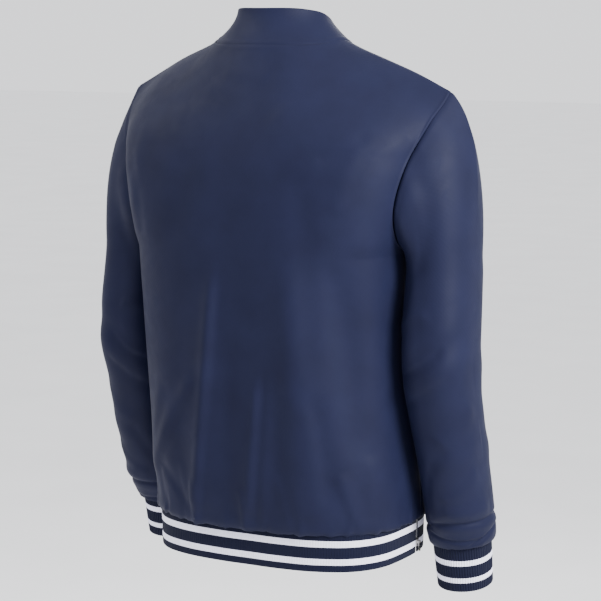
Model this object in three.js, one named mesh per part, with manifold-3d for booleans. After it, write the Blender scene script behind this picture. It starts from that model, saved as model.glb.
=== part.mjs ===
// Bomber jacket in its worn form, zipped up and hollow, as a closed set of sewn cloth walls.
// Millimetres, +Z up, front towards -Y, the wearer's right towards -X.
// The origin lies midway between the two side-neck points, where the wearer's shoulders carry it.
import * as THREE from 'three';
import { mergeVertices } from 'three/addons/utils/BufferGeometryUtils.js';
import Module from 'manifold-3d';

// ---------------------------------------------------------------- driving sizes
const SEAM = 0.3;            // clear gap between neighbouring pieces
const TUCK = 1.2;            // how far a wall's inner edge stays back from its seam
const SHELL = 1.5;           // woven shell with its seam allowances
const COLLAR = 3.0;          // two layers of shell over an interlining
const RIB = 2.0;             // knitted band, without its raised ribs
const RIB_RAISE = 0.8;       // how far a rib stands out of its band
const RIB_PITCH = 3.6;       // one rib and one valley
const ZIP_HALF = 6.3;        // from the closing line to the edge of the shell
const ZIP_TAPE = 1.8;        // thickness of tape and teeth
const HEM_DEPTH = 55;        // height of the hem band
const CUFF_DEPTH = 72;       // height of each cuff
const SIDE_ZIP_HALF = 3.2;   // from the side closing line to the edge of the hem band
const SIDE_ZIP_SHORT = 9;    // how far above the band's bottom the closed side slider sits

// ---------------------------------------------------------------- grid densities
const YOKE_ROWS = 11;        // from the underarm to the shoulder, and half the sleeve's columns
const NECK_COLUMNS = 5;      // from the centre to the side neck
const SHOULDER_COLUMNS = 6;  // from the side neck to the armhole
const CAP_ROWS = 7;          // sleeve head
const ARM_ROWS = 9;          // sleeve from the underarm to the pouch above the cuff
const COLLAR_ROWS = 3;
const RIBS_PER_INNER = 2;    // ribs that share one facet of the plain inside
// Rows of the body below the underarm, and of the sleeve's pouch: closest where the cloth turns up
// to its band.
const BODY_LEVELS = [0, 0.01, 0.02, 0.032, 0.045, 0.07, 0.11, 0.22, 0.35, 0.5, 0.66, 0.83, 1];
const POUCH_LEVELS = [0.93, 0.95, 0.965, 0.98, 1];

// ---------------------------------------------------------------- tables
// Body below the underarm. level: 0 at the hem seam, 1 at the underarm.
// seam: turn of the side seam, in degrees.
// The cloth hangs a little below the seam and turns up to it.
const BODY = table('level z half mid back front square seam', [
  [0.000, -630, 180, 12, 140, -112, 3.0, 103],
  [0.020, -636, 182.6, 12, 144, -115, 3.0, 103],
  [0.045, -632, 184.8, 13, 149, -119, 3.0, 102],
  [0.100, -611, 184.6, 14, 153, -122, 3.0, 102],
  [0.350, -516, 185, 17, 161, -126, 3.0, 98],
  [0.600, -424, 186, 18, 165, -125, 3.0, 94],
  [0.800, -350, 187, 18, 168, -124, 3.0, 91],
  [1.000, -276, 191, 18, 169, -122, 3.0, 90],
]);
// Yoke of the back above the underarm. c: centre line, e: armhole edge. level: 2 at the shoulder.
const BACK_YOKE = table('level cy cz ex ey ez mid square', [
  [1.00, 169, -276, 191, 18, -276, 18, 3.0],
  [1.17, 168, -238, 195, 60, -257, 18, 3.0],
  [1.33, 165, -198, 200, 81, -219, 17, 3.0],
  [1.41, 162, -178, 204, 82, -198, 16, 3.0],
  [1.51, 157, -152, 211, 77, -170, 14, 2.9],
  [1.60, 150, -126, 217, 67, -147, 12, 2.8],
  [1.71, 139, -94, 227, 54, -122, 9, 2.7],
  [1.82, 126, -62, 235, 37, -98, 6, 2.6],
  [1.92, 112, -31, 240, 17, -80, 3, 2.5],
  [2.00, 100, -5, 242, 2, -65, 2, 2.5],
]);
const FRONT_YOKE = table('level cy cz ex ey ez mid square', [
  [1.00, -122, -276, 191, 18, -276, 18, 3.0],
  [1.17, -121, -248, 194, -22, -257, 18, 3.0],
  [1.33, -118, -220, 199, -44, -222, 17, 3.0],
  [1.41, -115, -206, 202, -48, -202, 16, 3.0],
  [1.51, -110, -186, 207, -51, -174, 14, 2.9],
  [1.60, -105, -168, 213, -50, -150, 12, 2.8],
  [1.71, -97, -145, 222, -44, -124, 9, 2.7],
  [1.82, -87, -121, 231, -32, -100, 6, 2.6],
  [1.92, -76, -98, 238, -15, -80, 3, 2.5],
  [2.00, -66, -80, 242, 2, -65, 2, 2.5],
]);
// Shoulder seam from the side neck (0) to the sleeve head (1).
const SHOULDER = table('along x y z', [
  [0.00, 96, 16, 0],
  [0.15, 116, 17, -9],
  [0.40, 152, 15, -23],
  [0.72, 200, 5, -44],
  [1.00, 242, 2, -65],
]);
// Neck seam, turning from the centre back (0) to the centre front (180) and a little past both.
// flare: 1 where the collar leans evenly, more where it leans most just above the seam.
const NECK = table('turn half centre depth z flare', [
  [-60, 93, 16, 84, -4, 1.7],
  [0, 92, 16, 84, -5, 1.7],
  [60, 93, 16, 84, -4, 1.7],
  [90, 96, 16, 83, 0, 1.4],
  [120, 100, 16, 82, -18, 1.1],
  [150, 98, 16, 82, -57, 1.1],
  [180, 97, 16, 82, -80, 1.1],
  [210, 98, 16, 82, -57, 1.1],
]);
const COLLAR_TOP = table('turn half centre depth z', [
  [-60, 62, 14, 62, 40],
  [0, 62, 14, 62, 42],
  [60, 62, 14, 62, 40],
  [90, 63, 14, 62, 34],
  [120, 66, 12, 61, 17],
  [150, 65, 10, 60, -12],
  [180, 64, 8, 60, -32],
  [210, 65, 10, 60, -12],
]);
// Sleeve rings, from the first one under the arm to the cuff seam. pitch: how far the ring tips, in degrees.
// The cloth pouches over the cuff and turns up to its seam.
const ARM = table('level z x y outer inner back front pitch square', [
  [0.00, -300, 231, 4, 50, 37, 59, 58, 0, 2.6],
  [0.20, -372, 231, 13, 53, 38, 60, 58, 0, 2.6],
  [0.34, -420, 232, 17, 53, 39, 58, 57, 0, 2.5],
  [0.52, -482, 232, 1, 52, 38, 55, 55, 3, 2.4],
  [0.70, -545, 233, -17, 51, 35, 54, 53, 6, 2.3],
  [0.85, -604, 235, -34, 50, 37.5, 51, 50, 9, 2.2],
  [0.93, -645, 235, -50, 48, 42.5, 47, 47, 10, 2.1],
  [0.96, -662, 235, -57, 46, 44, 45.5, 45.5, 10, 2.1],
  [0.98, -667, 235, -59, 43.5, 43.5, 43.5, 43.5, 10, 2.0],
  [1.00, -659, 235, -57, 41.2, 41.2, 41.2, 41.2, 10, 2.0],
]);
// Directions in which the sleeve head leaves the armhole; turn: 0 top, 0.25 back, 0.5 underarm, 0.75 front.
const HEAD = table('turn out back down reach', [
  [0.00, 0.92, -0.25, 0.95, 0.62],
  [0.25, 0.55, 0.25, 0.80, 1.00],
  [0.50, 0.80, 0.00, 0.60, 1.00],
  [0.75, 0.55, -0.25, 0.80, 1.00],
  [1.00, 0.92, -0.25, 0.95, 0.62],
]);
// Broad folds: straight soft ridges (rise > 0) and troughs between two places, breadth to each side.
const BACK_FOLDS = table('x1 z1 x2 z2 breadth rise', [
  [25, -300, 42, -600, 28, 5],
  [98, -440, 150, -570, 20, 4],
  [-46, -470, -30, -625, 18, 4],
  [-94, -290, -112, -610, 24, 5],
  [-148, -320, -182, -540, 26, -6],
  [0, -400, 6, -615, 18, -3],
  [75, -470, 84, -620, 18, -3],
  [-72, -430, -70, -610, 14, -3],
]);
const FRONT_FOLDS = table('x1 z1 x2 z2 breadth rise', [
  [96, -260, 124, -590, 26, 4],
  [-88, -280, -118, -600, 26, 4],
  [52, -420, 60, -620, 18, -3],
  [-46, -440, -52, -620, 18, -3],
  [158, -330, 168, -560, 22, -4],
  [-160, -310, -166, -540, 22, -4],
]);
// Hem band below its seam. drop: distance below the seam.
const HEM = table('drop half mid back front square', [
  [0, 178.5, 12, 138.6, -110.6, 3.0],
  [HEM_DEPTH, 177, 12, 138, -110, 3.0],
]);
const HEM_LEVEL = -630;
const HEM_SIDE = 103;        // turn of the side seam in the hem band
// Cuff below its seam, on the forearm's axis. across: sideways radius, fore: front-to-back radius.
const CUFF = table('drop across fore', [
  [0, 39.4, 39.4],
  [CUFF_DEPTH, 36.6, 37.8],
]);
// Sleeve folds: around is the distance round the sleeve in turns, 0 outside and 0.25 at the back.
const SLEEVE_FOLDS = table('x1 z1 x2 z2 breadth rise', [
  [0.10, -385, 0.36, -425, 16, -4],
  [0.62, -380, 0.92, -430, 20, 5],
  [0.60, -420, 0.86, -465, 14, -4],
  [0.02, -520, 0.24, -560, 20, 3],
  [0.66, -500, 0.94, -540, 16, 3],
  [0.04, -612, 0.30, -628, 10, 3],
  [0.55, -606, 0.85, -622, 10, 3],
  [0.12, -150, 0.20, -300, 24, 3],
]);
const SLEEVE_GIRTH = 330;    // turns to millimetres for the sleeve folds
const HEM_TILT_BACK = 0.032; // the hem is carried lower at the back
const LEFT_LIFT = 12;        // the left forearm is carried this much higher
const LEFT_PUSH = 8;         // and its cuff is pushed this much further up under the sleeve
const LEFT_EASE = 6;         // and the sleeve above that cuff is this much fuller towards the body
const PUSHED_FROM = 0.97;    // level of the sleeve below which it follows its pushed-up cuff
const SWAY = 11;             // how far the hem hangs to the wearer's right of the neck

// ---------------------------------------------------------------- small tools
function table(names, rows) {
  const keys = names.split(' ');
  return rows.map((row) => Object.fromEntries(keys.map((key, i) => [key, row[i]])));
}

// Value of one column at a place between rows, smooth through every row.
function read(rows, column, at) {
  const by = Object.keys(rows[0])[0];
  const last = rows.length - 1;
  let k = 0;
  while (k < last - 1 && at > rows[k + 1][by]) k += 1;
  const slope = (i) => (rows[i + 1][column] - rows[i][column]) / (rows[i + 1][by] - rows[i][by]);
  const tangent = (i) => {
    if (i === 0) return slope(0);
    if (i === last) return slope(last - 1);
    const before = rows[i][by] - rows[i - 1][by];
    const after = rows[i + 1][by] - rows[i][by];
    return (slope(i - 1) * after + slope(i) * before) / (before + after);
  };
  const span = rows[k + 1][by] - rows[k][by];
  const t = (at - rows[k][by]) / span;
  return hermite(t, rows[k][column], tangent(k) * span, rows[k + 1][column], tangent(k + 1) * span);
}

function hermite(t, p0, d0, p1, d1) {
  const s = t * t;
  const c = s * t;
  return p0 * (2 * c - 3 * s + 1) + d0 * (c - 2 * s + t) + p1 * (3 * s - 2 * c) + d1 * (c - s);
}

const vec = (x, y, z) => new THREE.Vector3(x, y, z);
const lerp = THREE.MathUtils.lerp;
const smooth = (t) => THREE.MathUtils.smoothstep(t, 0, 1);
const steps = (count, from = 0, to = 1) =>
  Array.from({ length: count + 1 }, (_, i) => lerp(from, to, i / count));

// Point of a unit rounded square at an angle, as [sine part, cosine part].
function rounded(angle, square) {
  const s = Math.sin(angle);
  const c = Math.cos(angle);
  const r = (Math.abs(s) ** square + Math.abs(c) ** square) ** (1 / square);
  return [s / r, c / r];
}

// Height of all folds of a table at one place.
function fold(rows, x, z, scale = 1) {
  return rows.reduce((sum, f) => {
    const dx = (f.x2 - f.x1) * scale;
    const dz = f.z2 - f.z1;
    const px = (x - f.x1) * scale;
    const pz = z - f.z1;
    const t = THREE.MathUtils.clamp((px * dx + pz * dz) / (dx * dx + dz * dz), 0, 1);
    const away = Math.hypot(px - t * dx, pz - t * dz) / f.breadth;
    return sum + f.rise * Math.exp(-away * away) * Math.sin(Math.PI * (0.12 + 0.76 * t));
  }, 0);
}

// Normal of a surface at(u, v); way is 1 or -1, whichever turns it to the cloth's outer face.
function normalOf(at, u, v, way) {
  const d = 1e-3;
  const across = at(u + d, v).sub(at(u - d, v));
  const along = at(u, v + d).sub(at(u, v - d));
  return across.cross(along).normalize().multiplyScalar(way);
}

// ---------------------------------------------------------------- solids
// A closed wall between an outer and an inner grid of points. The inner grid may be coarser by whole steps.
// With ring = true the columns join round, and the two end rows are the only rims.
function wall(outer, inner, ring = false) {
  const positions = [];
  const index = [];
  const add = (grid) => grid.map((row) => row.map((p) => positions.push(p.x, p.y, p.z) / 3 - 1));
  const out = add(outer);
  const inn = add(inner);
  const apart = (a, b) => Math.hypot(...[0, 1, 2].map((k) => positions[3 * a + k] - positions[3 * b + k]));
  const cell = (a, b, c, d) => {
    if (apart(a, c) <= apart(b, d)) index.push(a, b, c, a, c, d);
    else index.push(a, b, d, b, c, d);
  };
  const sheet = (grid, flip) => {
    for (let i = 0; i + 1 < grid.length; i += 1) {
      const width = grid[i].length;
      for (let j = 0; j + (ring ? 0 : 1) < width; j += 1) {
        const k = (j + 1) % width;
        const corners = [grid[i][j], grid[i][k], grid[i + 1][k], grid[i + 1][j]];
        cell(...(flip ? corners.reverse() : corners));
      }
    }
  };
  // A rim: each inner step is met by `ratio` outer steps, fanned from the inner step's first point.
  const rim = (a, b, closed, flip) => {
    const ratio = closed ? a.length / b.length : (a.length - 1) / (b.length - 1);
    const count = closed ? b.length : b.length - 1;
    const put = (p, q, r) => index.push(...(flip ? [p, r, q] : [p, q, r]));
    for (let k = 0; k < count; k += 1) {
      const from = b[k];
      const to = b[(k + 1) % b.length];
      for (let m = 0; m < ratio; m += 1) put(from, a[(k * ratio + m + 1) % a.length], a[k * ratio + m]);
      put(from, to, a[((k + 1) * ratio) % a.length]);
    }
  };
  sheet(out, false);
  sheet(inn, true);
  const bottom = out.length - 1;
  rim(out[0], inn[0], ring, false);
  rim(out[bottom], inn[inn.length - 1], ring, true);
  if (!ring) {
    rim(out.map((row) => row[0]), inn.map((row) => row[0]), false, true);
    rim(out.map((row) => row[row.length - 1]), inn.map((row) => row[row.length - 1]), false, false);
  }
  return solid(positions, index);
}

// Indexed geometry with its faces turned outwards.
function solid(positions, index) {
  const p = (i) => vec(positions[3 * i], positions[3 * i + 1], positions[3 * i + 2]);
  let volume = 0;
  for (let i = 0; i < index.length; i += 3) {
    volume += p(index[i]).dot(p(index[i + 1]).cross(p(index[i + 2])));
  }
  const flipped = (_, i) => (i % 3 ? [] : [index[i], index[i + 2], index[i + 1]]);
  const faces = volume < 0 ? index.flatMap(flipped) : index;
  const geometry = new THREE.BufferGeometry();
  geometry.setAttribute('position', new THREE.Float32BufferAttribute(positions, 3));
  geometry.setIndex(faces);
  geometry.computeVertexNormals();
  return geometry;
}

// Cloth wall over a surface at(u, v) with normal out(u, v), on the given parameter lines.
// edge: how far the cloth stops short of [first u, last u, first v, last v], in millimetres.
function panel(at, out, us, vs, edge, thickness) {
  const d = 1e-3;
  const speed = (u, v, du, dv) => at(u + du * d, v + dv * d).distanceTo(at(u, v)) / d;
  const grid = (extra, depth) => vs.map((v0, i) => us.map((u0, j) => {
    let u = u0;
    let v = v0;
    if (j === 0) u += (edge[0] + extra) / speed(u0, v0, 1, 0);
    if (j === us.length - 1) u -= (edge[1] + extra) / speed(u0, v0, -1, 0);
    if (i === 0) v += (edge[2] + extra) / speed(u0, v0, 0, 1);
    if (i === vs.length - 1) v -= (edge[3] + extra) / speed(u0, v0, 0, -1);
    return at(u, v).addScaledVector(out(u, v), -depth);
  }));
  return wall(grid(0, 0), grid(TUCK, thickness));
}

// ---------------------------------------------------------------- torso surface
const SIDE_NECK = NECK_COLUMNS / (NECK_COLUMNS + SHOULDER_COLUMNS);
const LEVELS = [...BODY_LEVELS, ...steps(YOKE_ROWS, 1, 2).slice(1)];
const HALF_S = [...steps(NECK_COLUMNS, 0, SIDE_NECK), ...steps(SHOULDER_COLUMNS, SIDE_NECK, 1).slice(1)];
const YOKE_BLEND = 1.6;      // level above which the yoke turns in to the shoulder and neck seams

// The hang of the body: amount is 0 at the underarm and 1 at the hem.
const hang = (p, amount) => vec(
  p.x - amount * SWAY,
  p.y,
  p.z - amount * HEM_TILT_BACK * p.y,
);

// Point of a closed ring at a turn in degrees from the centre back, positive towards the wearer's left.
function ringPoint({ half, mid, back, front, square }, turn) {
  const [sx, cy] = rounded(THREE.MathUtils.degToRad(turn), square);
  return [half * sx, mid + cy * (cy > 0 ? back - mid : mid - front)];
}
const rowAt = (rows, at) => Object.fromEntries(Object.keys(rows[0]).map((key) => [key, read(rows, key, at)]));

// A row of the body: s runs from the centre line (0) to the side seam (+-1).
function bodyRow(side, s, level) {
  const row = rowAt(BODY, level);
  const turn = side === 'back' ? s * row.seam : (Math.sign(s) || 1) * (180 - Math.abs(s) * (180 - row.seam));
  const [x, y] = ringPoint(row, turn);
  return hang(vec(x, y, row.z), smooth(1 - level));
}

// A row of the yoke: the part of a rounded square between the centre line and the armhole edge.
function yokeRow(rows, s, level) {
  const get = (column) => read(rows, column, level);
  const mid = get('mid');
  const square = get('square');
  const depth = get('cy') - mid;
  const share = THREE.MathUtils.clamp((get('ey') - mid) / depth, -0.999, 0.999);
  const power = Math.abs(share) ** square;
  const corner = Math.atan(((1 - power) / power) ** (1 / square));
  const reach = share > 0 ? corner : Math.PI - corner;
  const half = get('ex') / rounded(reach, square)[0];
  const [sx, cy] = rounded(s * reach, square);
  const x = half * sx;
  const fall = (x / get('ex')) ** 2;
  return vec(x, mid + depth * cy, lerp(get('cz'), get('ez'), fall));
}

// Neck seam at a turn in degrees from the centre back; collar edge likewise.
function loop(rows, turn, sign = 1) {
  const a = THREE.MathUtils.degToRad(turn);
  const get = (column) => read(rows, column, turn);
  return vec(sign * get('half') * Math.sin(a), get('centre') + get('depth') * Math.cos(a), get('z'));
}

// The yoke's top edge: neck seam up to the side neck, then the shoulder seam.
function topEdge(side, s) {
  const sign = Math.sign(s) || 1;
  const a = Math.abs(s);
  if (a <= SIDE_NECK) {
    const turn = (90 * a) / SIDE_NECK;
    return loop(NECK, side === 'back' ? turn : 180 - turn, sign);
  }
  const t = (a - SIDE_NECK) / (1 - SIDE_NECK);
  return vec(sign * read(SHOULDER, 'x', t), read(SHOULDER, 'y', t), read(SHOULDER, 'z', t));
}

// Direction and reach of the yoke as it arrives at the top edge.
function topArrival(side, s) {
  const a = Math.abs(s);
  const over = side === 'back' ? -1 : 1;
  const atCentre = side === 'back' ? vec(0, -40, 95) : vec(0, 42, 70);
  const atShoulder = vec(0, over * 120, side === 'back' ? 12 : 30);
  return atCentre.lerp(atShoulder, smooth(Math.min(a / SIDE_NECK, 1)));
}

function torsoBase(side, s, level) {
  if (level <= 1) return bodyRow(side, s, level);
  const rows = side === 'back' ? BACK_YOKE : FRONT_YOKE;
  if (level <= YOKE_BLEND) return yokeRow(rows, s, level);
  const top = (a) => {
    const span = 2 - YOKE_BLEND;
    const t = (level - YOKE_BLEND) / span;
    const d = 1e-3;
    const from = yokeRow(rows, a, YOKE_BLEND);
    const leave = from.clone().sub(yokeRow(rows, a, YOKE_BLEND - d)).multiplyScalar(span / d);
    const to = topEdge(side, a);
    const arrive = topArrival(side, a);
    const axis = (k) => hermite(t, from[k], leave[k], to[k], arrive[k]);
    return vec(axis('x'), axis('y'), axis('z'));
  };
  // The armhole edge follows its own table; the difference fades in from it.
  const sign = Math.sign(s) || 1;
  const edge = yokeRow(rows, sign, level).sub(top(sign));
  return top(s).addScaledVector(edge, Math.abs(s) ** 5);
}

function torsoOut(side, s, level) {
  const at = (u, v) => torsoBase(side, u, v);
  return normalOf(at, s, Math.min(level, 1.999), side === 'back' ? -1 : 1);
}
function torso(side, s, level) {
  const p = torsoBase(side, s, level);
  const rows = side === 'back' ? BACK_FOLDS : FRONT_FOLDS;
  const fade = smooth((p.z + 630) / 20) * smooth((1 - Math.abs(s)) / 0.12);
  return p.addScaledVector(torsoOut(side, s, level), fold(rows, p.x, p.z) * fade);
}

// s at which the front's centre edge has the wanted distance from the closing line.
const nearCentre = (side, level, x) => (
  (x / (torsoBase(side, 0.02, level).x - torsoBase(side, 0, level).x)) * 0.02);

// ---------------------------------------------------------------- sleeve surface
// turn runs round the sleeve: 0 outside, 0.25 back, 0.5 under the arm, 0.75 front.
// level: -1 at the armhole, 0 at the first full ring, 1 at the cuff seam.
function armhole(hand, turn) {
  const level = 1 + Math.abs(1 - 2 * turn);
  const rows = turn <= 0.5 ? BACK_YOKE : FRONT_YOKE;
  return vec(hand * read(rows, 'ex', level), read(rows, 'ey', level), read(rows, 'ez', level));
}

function armRing(hand, turn, level) {
  const get = (column) => read(ARM, column, level);
  const [back, out] = rounded(turn * 2 * Math.PI, get('square'));
  const x = out * (out > 0 ? get('outer') : get('inner') + ease(hand, level));
  const y = back * (back > 0 ? get('back') : get('front'));
  const tip = Math.tan(THREE.MathUtils.degToRad(get('pitch')));
  return vec(hand * (get('x') + x), get('y') + y, get('z') - y * tip + lift(hand, level));
}

// Extra fullness of the left sleeve towards the body, just above its pushed-up cuff.
const ease = (hand, level) => (
  hand > 0 ? LEFT_EASE * smooth((level - 0.6) / 0.3) * smooth((1 - level) / 0.05) : 0);

// How much higher the left sleeve lies, most of all at its cuff seam.
function lift(hand, level) {
  if (hand < 0) return 0;
  return LEFT_LIFT * smooth(level) + LEFT_PUSH * smooth((level - PUSHED_FROM) / (1 - PUSHED_FROM));
}

function sleeveBase(hand, turnAny, level) {
  const turn = ((turnAny % 1) + 1) % 1;
  if (level >= 0) return armRing(hand, turn, level);
  const t = level + 1;
  const from = armhole(hand, turn);
  const to = armRing(hand, turn, 0);
  const get = (column) => read(HEAD, column, turn);
  const reach = from.distanceTo(to);
  const leave = vec(hand * get('out'), get('back'), -get('down')).multiplyScalar(reach * get('reach'));
  const d = 1e-3;
  const arrive = armRing(hand, turn, d).sub(to).normalize().multiplyScalar(reach);
  const axis = (k) => hermite(t, from[k], leave[k], to[k], arrive[k]);
  return vec(axis('x'), axis('y'), axis('z'));
}

function sleeveOut(hand, turn, level) {
  const at = (u, v) => sleeveBase(hand, u, v);
  return normalOf(at, turn, THREE.MathUtils.clamp(level, -0.999, 0.999), -hand);
}
function sleeve(hand, turn, level) {
  const p = sleeveBase(hand, turn, level);
  const round = ((turn % 1) + 1) % 1;
  const fade = smooth((level + 1) / 0.3) * smooth((0.95 - level) / 0.05);
  const inner = 1 - Math.exp(-(((round - 0.5) / 0.1) ** 2));
  const height = fold(SLEEVE_FOLDS, round, p.z, SLEEVE_GIRTH) * fade * inner;
  return p.addScaledVector(sleeveOut(hand, turn, level), height);
}

// ---------------------------------------------------------------- collar surface
// turn in degrees from the centre back; level: 0 at the neck seam, 1 at the collar's edge.
function collar(turn, level) {
  const sign = Math.sign(turn) || 1;
  const base = loop(NECK, Math.abs(turn), sign);
  const top = loop(COLLAR_TOP, Math.abs(turn), sign);
  const lean = 1 - (1 - level) ** read(NECK, 'flare', Math.abs(turn));
  return vec(lerp(base.x, top.x, lean), lerp(base.y, top.y, lean), lerp(base.z, top.z, level));
}
const collarOut = (turn, level) => normalOf(collar, turn, Math.min(level, 0.995), -1);

// ---------------------------------------------------------------- knitted bands
// Evenly spaced points along a curve curve(a), a from 0 to 1, with a full circle closing on itself.
function even(curve, count, samples = 720) {
  const raw = steps(samples).map(curve);
  const length = [0];
  for (let i = 1; i < raw.length; i += 1) length.push(length[i - 1] + raw[i].distanceTo(raw[i - 1]));
  let k = 0;
  return steps(count).map((share) => {
    const want = share * length[samples];
    while (k < samples - 1 && length[k + 1] < want) k += 1;
    const t = (want - length[k]) / (length[k + 1] - length[k]);
    return raw[k].clone().lerp(raw[k + 1], t);
  });
}

// Ribbed wall through rows of curves round the point `core`; the ribs run from row to row.
function ribbed(curves, core, ring = false) {
  const travel = (sum, p, i, all) => (i ? sum + p.distanceTo(all[i - 1]) : 0);
  const length = steps(90).map(curves[0]).reduce(travel, 0);
  const ribs = Math.round(length / RIB_PITCH / RIBS_PER_INNER) * RIBS_PER_INNER;
  const rows = curves.map((curve) => {
    const points = even(curve, ribs * 2);
    const away = points.map((p, j) => {
      const q = points[Math.min(j + 1, points.length - 1)].clone().sub(points[Math.max(j - 1, 0)]);
      const n = vec(q.y, -q.x, 0).normalize();
      return n.dot(p.clone().sub(core)) < 0 ? n.negate() : n;
    });
    return { points, away };
  });
  if (ring) rows.forEach((row) => row.points.pop());
  const outer = rows.map(({ points, away }) => points.map((p, j) => (
    p.clone().addScaledVector(away[j], j % 2 ? RIB_RAISE : 0))));
  const stride = 2 * RIBS_PER_INNER;
  const inner = rows.map(({ points, away }) => points.filter((_, j) => j % stride === 0).map((p, j) => (
    p.clone().addScaledVector(away[j * stride], -RIB))));
  return wall(outer, inner, ring);
}

// Hem band at a turn in degrees from the centre back, positive towards the wearer's left.
function hem(turn, drop) {
  const [x, y] = ringPoint(rowAt(HEM, drop), turn);
  return hang(vec(x, y, HEM_LEVEL - drop), 1);
}

// The band follows the straight facets of the body panels above it.
const HEM_TURNS = [
  ...HALF_S.map((s) => s * HEM_SIDE),
  ...HALF_S.map((s) => 180 - s * (180 - HEM_SIDE)).reverse().slice(1),
];
function hemFacet(turn, drop) {
  const a = Math.min(Math.abs(turn), 180);
  const k = Math.max(1, HEM_TURNS.findIndex((t) => t >= a - 1e-9));
  const sign = Math.sign(turn) || 1;
  const [t0, t1] = [HEM_TURNS[k - 1], HEM_TURNS[k]];
  return hem(sign * t0, drop).lerp(hem(sign * t1, drop), (a - t0) / (t1 - t0));
}

// Stretch of hem band between two turns, stopping short of each by its own distance.
function hemBand(from, to, shortFrom, shortTo) {
  const curves = steps(HEM.length - 1, 0, HEM_DEPTH).map((drop) => {
    const speed = (turn) => hem(turn + 0.1, drop).distanceTo(hem(turn - 0.1, drop)) / 0.2;
    const start = from + shortFrom / speed(from);
    const end = to - shortTo / speed(to);
    return (a) => hemFacet(lerp(start, end, a), drop);
  });
  return ribbed(curves, vec(0, 15, HEM_LEVEL));
}

function cuff(hand) {
  const end = ARM[ARM.length - 1];
  const tip = THREE.MathUtils.degToRad(end.pitch);
  const back = vec(0, Math.cos(tip), -Math.sin(tip));
  const down = vec(0, -Math.sin(tip), -Math.cos(tip));
  const centre = (drop) => vec(hand * end.x, end.y, end.z + lift(hand, 1)).addScaledVector(down, drop);
  const curves = CUFF.map(({ drop, across, fore }) => (a) => {
    const angle = a * 2 * Math.PI;
    const outward = vec(hand * across * Math.cos(angle), 0, 0);
    return centre(drop).add(outward).addScaledVector(back, fore * Math.sin(angle));
  });
  return ribbed(curves, centre(CUFF_DEPTH / 2), true);
}

// ---------------------------------------------------------------- zips
// Half of a zip along a path of { at, out } stations: tape and teeth as one strip beside the closing line.
function zipHalf(path, side, from, to) {
  const face = path.map(({ at }) => [from, to].map((x) => at.clone().addScaledVector(side, x)));
  const rear = path.map(({ at, out }) => [from, to].map((x) => (
    at.clone().addScaledVector(side, x).addScaledVector(out, -ZIP_TAPE))));
  return wall(face, rear);
}

// Stations along a line of points, with the outward direction across both the line and the zip's width.
function stations(points, side, core) {
  return points.map((at, i) => {
    const along = points[Math.min(i + 1, points.length - 1)].clone().sub(points[Math.max(i - 1, 0)]);
    const out = along.cross(side).normalize();
    return { at, out: out.dot(at.clone().sub(core(at))) < 0 ? out.negate() : out };
  });
}

const wasm = await Module();
wasm.setup();
function toSolid(geometry) {
  const plain = geometry.clone();
  plain.deleteAttribute('normal');
  plain.deleteAttribute('uv');
  const merged = mergeVertices(plain, 1e-4);
  return new wasm.Manifold(new wasm.Mesh({
    numProp: 3,
    vertProperties: Float32Array.from(merged.attributes.position.array),
    triVerts: Uint32Array.from(merged.index.array),
  }));
}
function toGeometry(manifold) {
  const mesh = manifold.getMesh();
  const geometry = new THREE.BufferGeometry();
  geometry.setAttribute('position', new THREE.BufferAttribute(mesh.vertProperties, 3));
  geometry.setIndex(new THREE.BufferAttribute(mesh.triVerts, 1));
  geometry.computeVertexNormals();
  return geometry;
}
const box = (x, y, z, cx, cy, cz) => new THREE.BoxGeometry(x, y, z).translate(cx, cy, cz);
const rod = (radius, length, y, z, sides = 16) => (
  new THREE.CylinderGeometry(radius, radius, length, sides).rotateZ(Math.PI / 2).translate(0, y, z));
const union = (list) => list.map(toSolid).reduce((a, b) => a.add(b));

// Slider sizes: x across the zip, y outwards from the strip's face, z along the zip. The bridge is at +z.
const SLIDER = {
  plate: 1.4, clear: 0.3, bridge: 3.5, lug: 1.1, pin: 0.5, hole: 0.85, pinOut: 3.5, pinBack: -2.6,
};
const FRONT_SLIDER = { width: 9, length: 12, tab: 22, tabWidth: 7, hang: -1, lift: 10 };
const SIDE_SLIDER = { width: 5.2, length: 8, tab: 13, tabWidth: 4.2, hang: 1, lift: 6 };
const ZIP_END = 0.93;        // share of the collar's height that the front zip climbs

function sliderBody({ width, length }) {
  const { plate, clear, bridge, lug, hole, pinOut, pinBack } = SLIDER;
  const rear = -(ZIP_TAPE + clear + plate);
  const front = clear + plate;
  const plates = [clear + plate / 2, rear + plate / 2].map((y) => box(width, plate, length, 0, y, -length / 2));
  const core = box(width, front - rear, bridge, 0, (front + rear) / 2, bridge / 2);
  const lugs = [-1, 1].map((k) => (
    box(lug, pinOut + 1.8 - front, 3.2, k * (width / 2 - lug / 2 - 0.3), (pinOut + 1.4 + front) / 2, pinBack)));
  return toGeometry(union([...plates, core, ...lugs]).subtract(toSolid(rod(hole, width + 2, pinOut, pinBack))));
}

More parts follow.
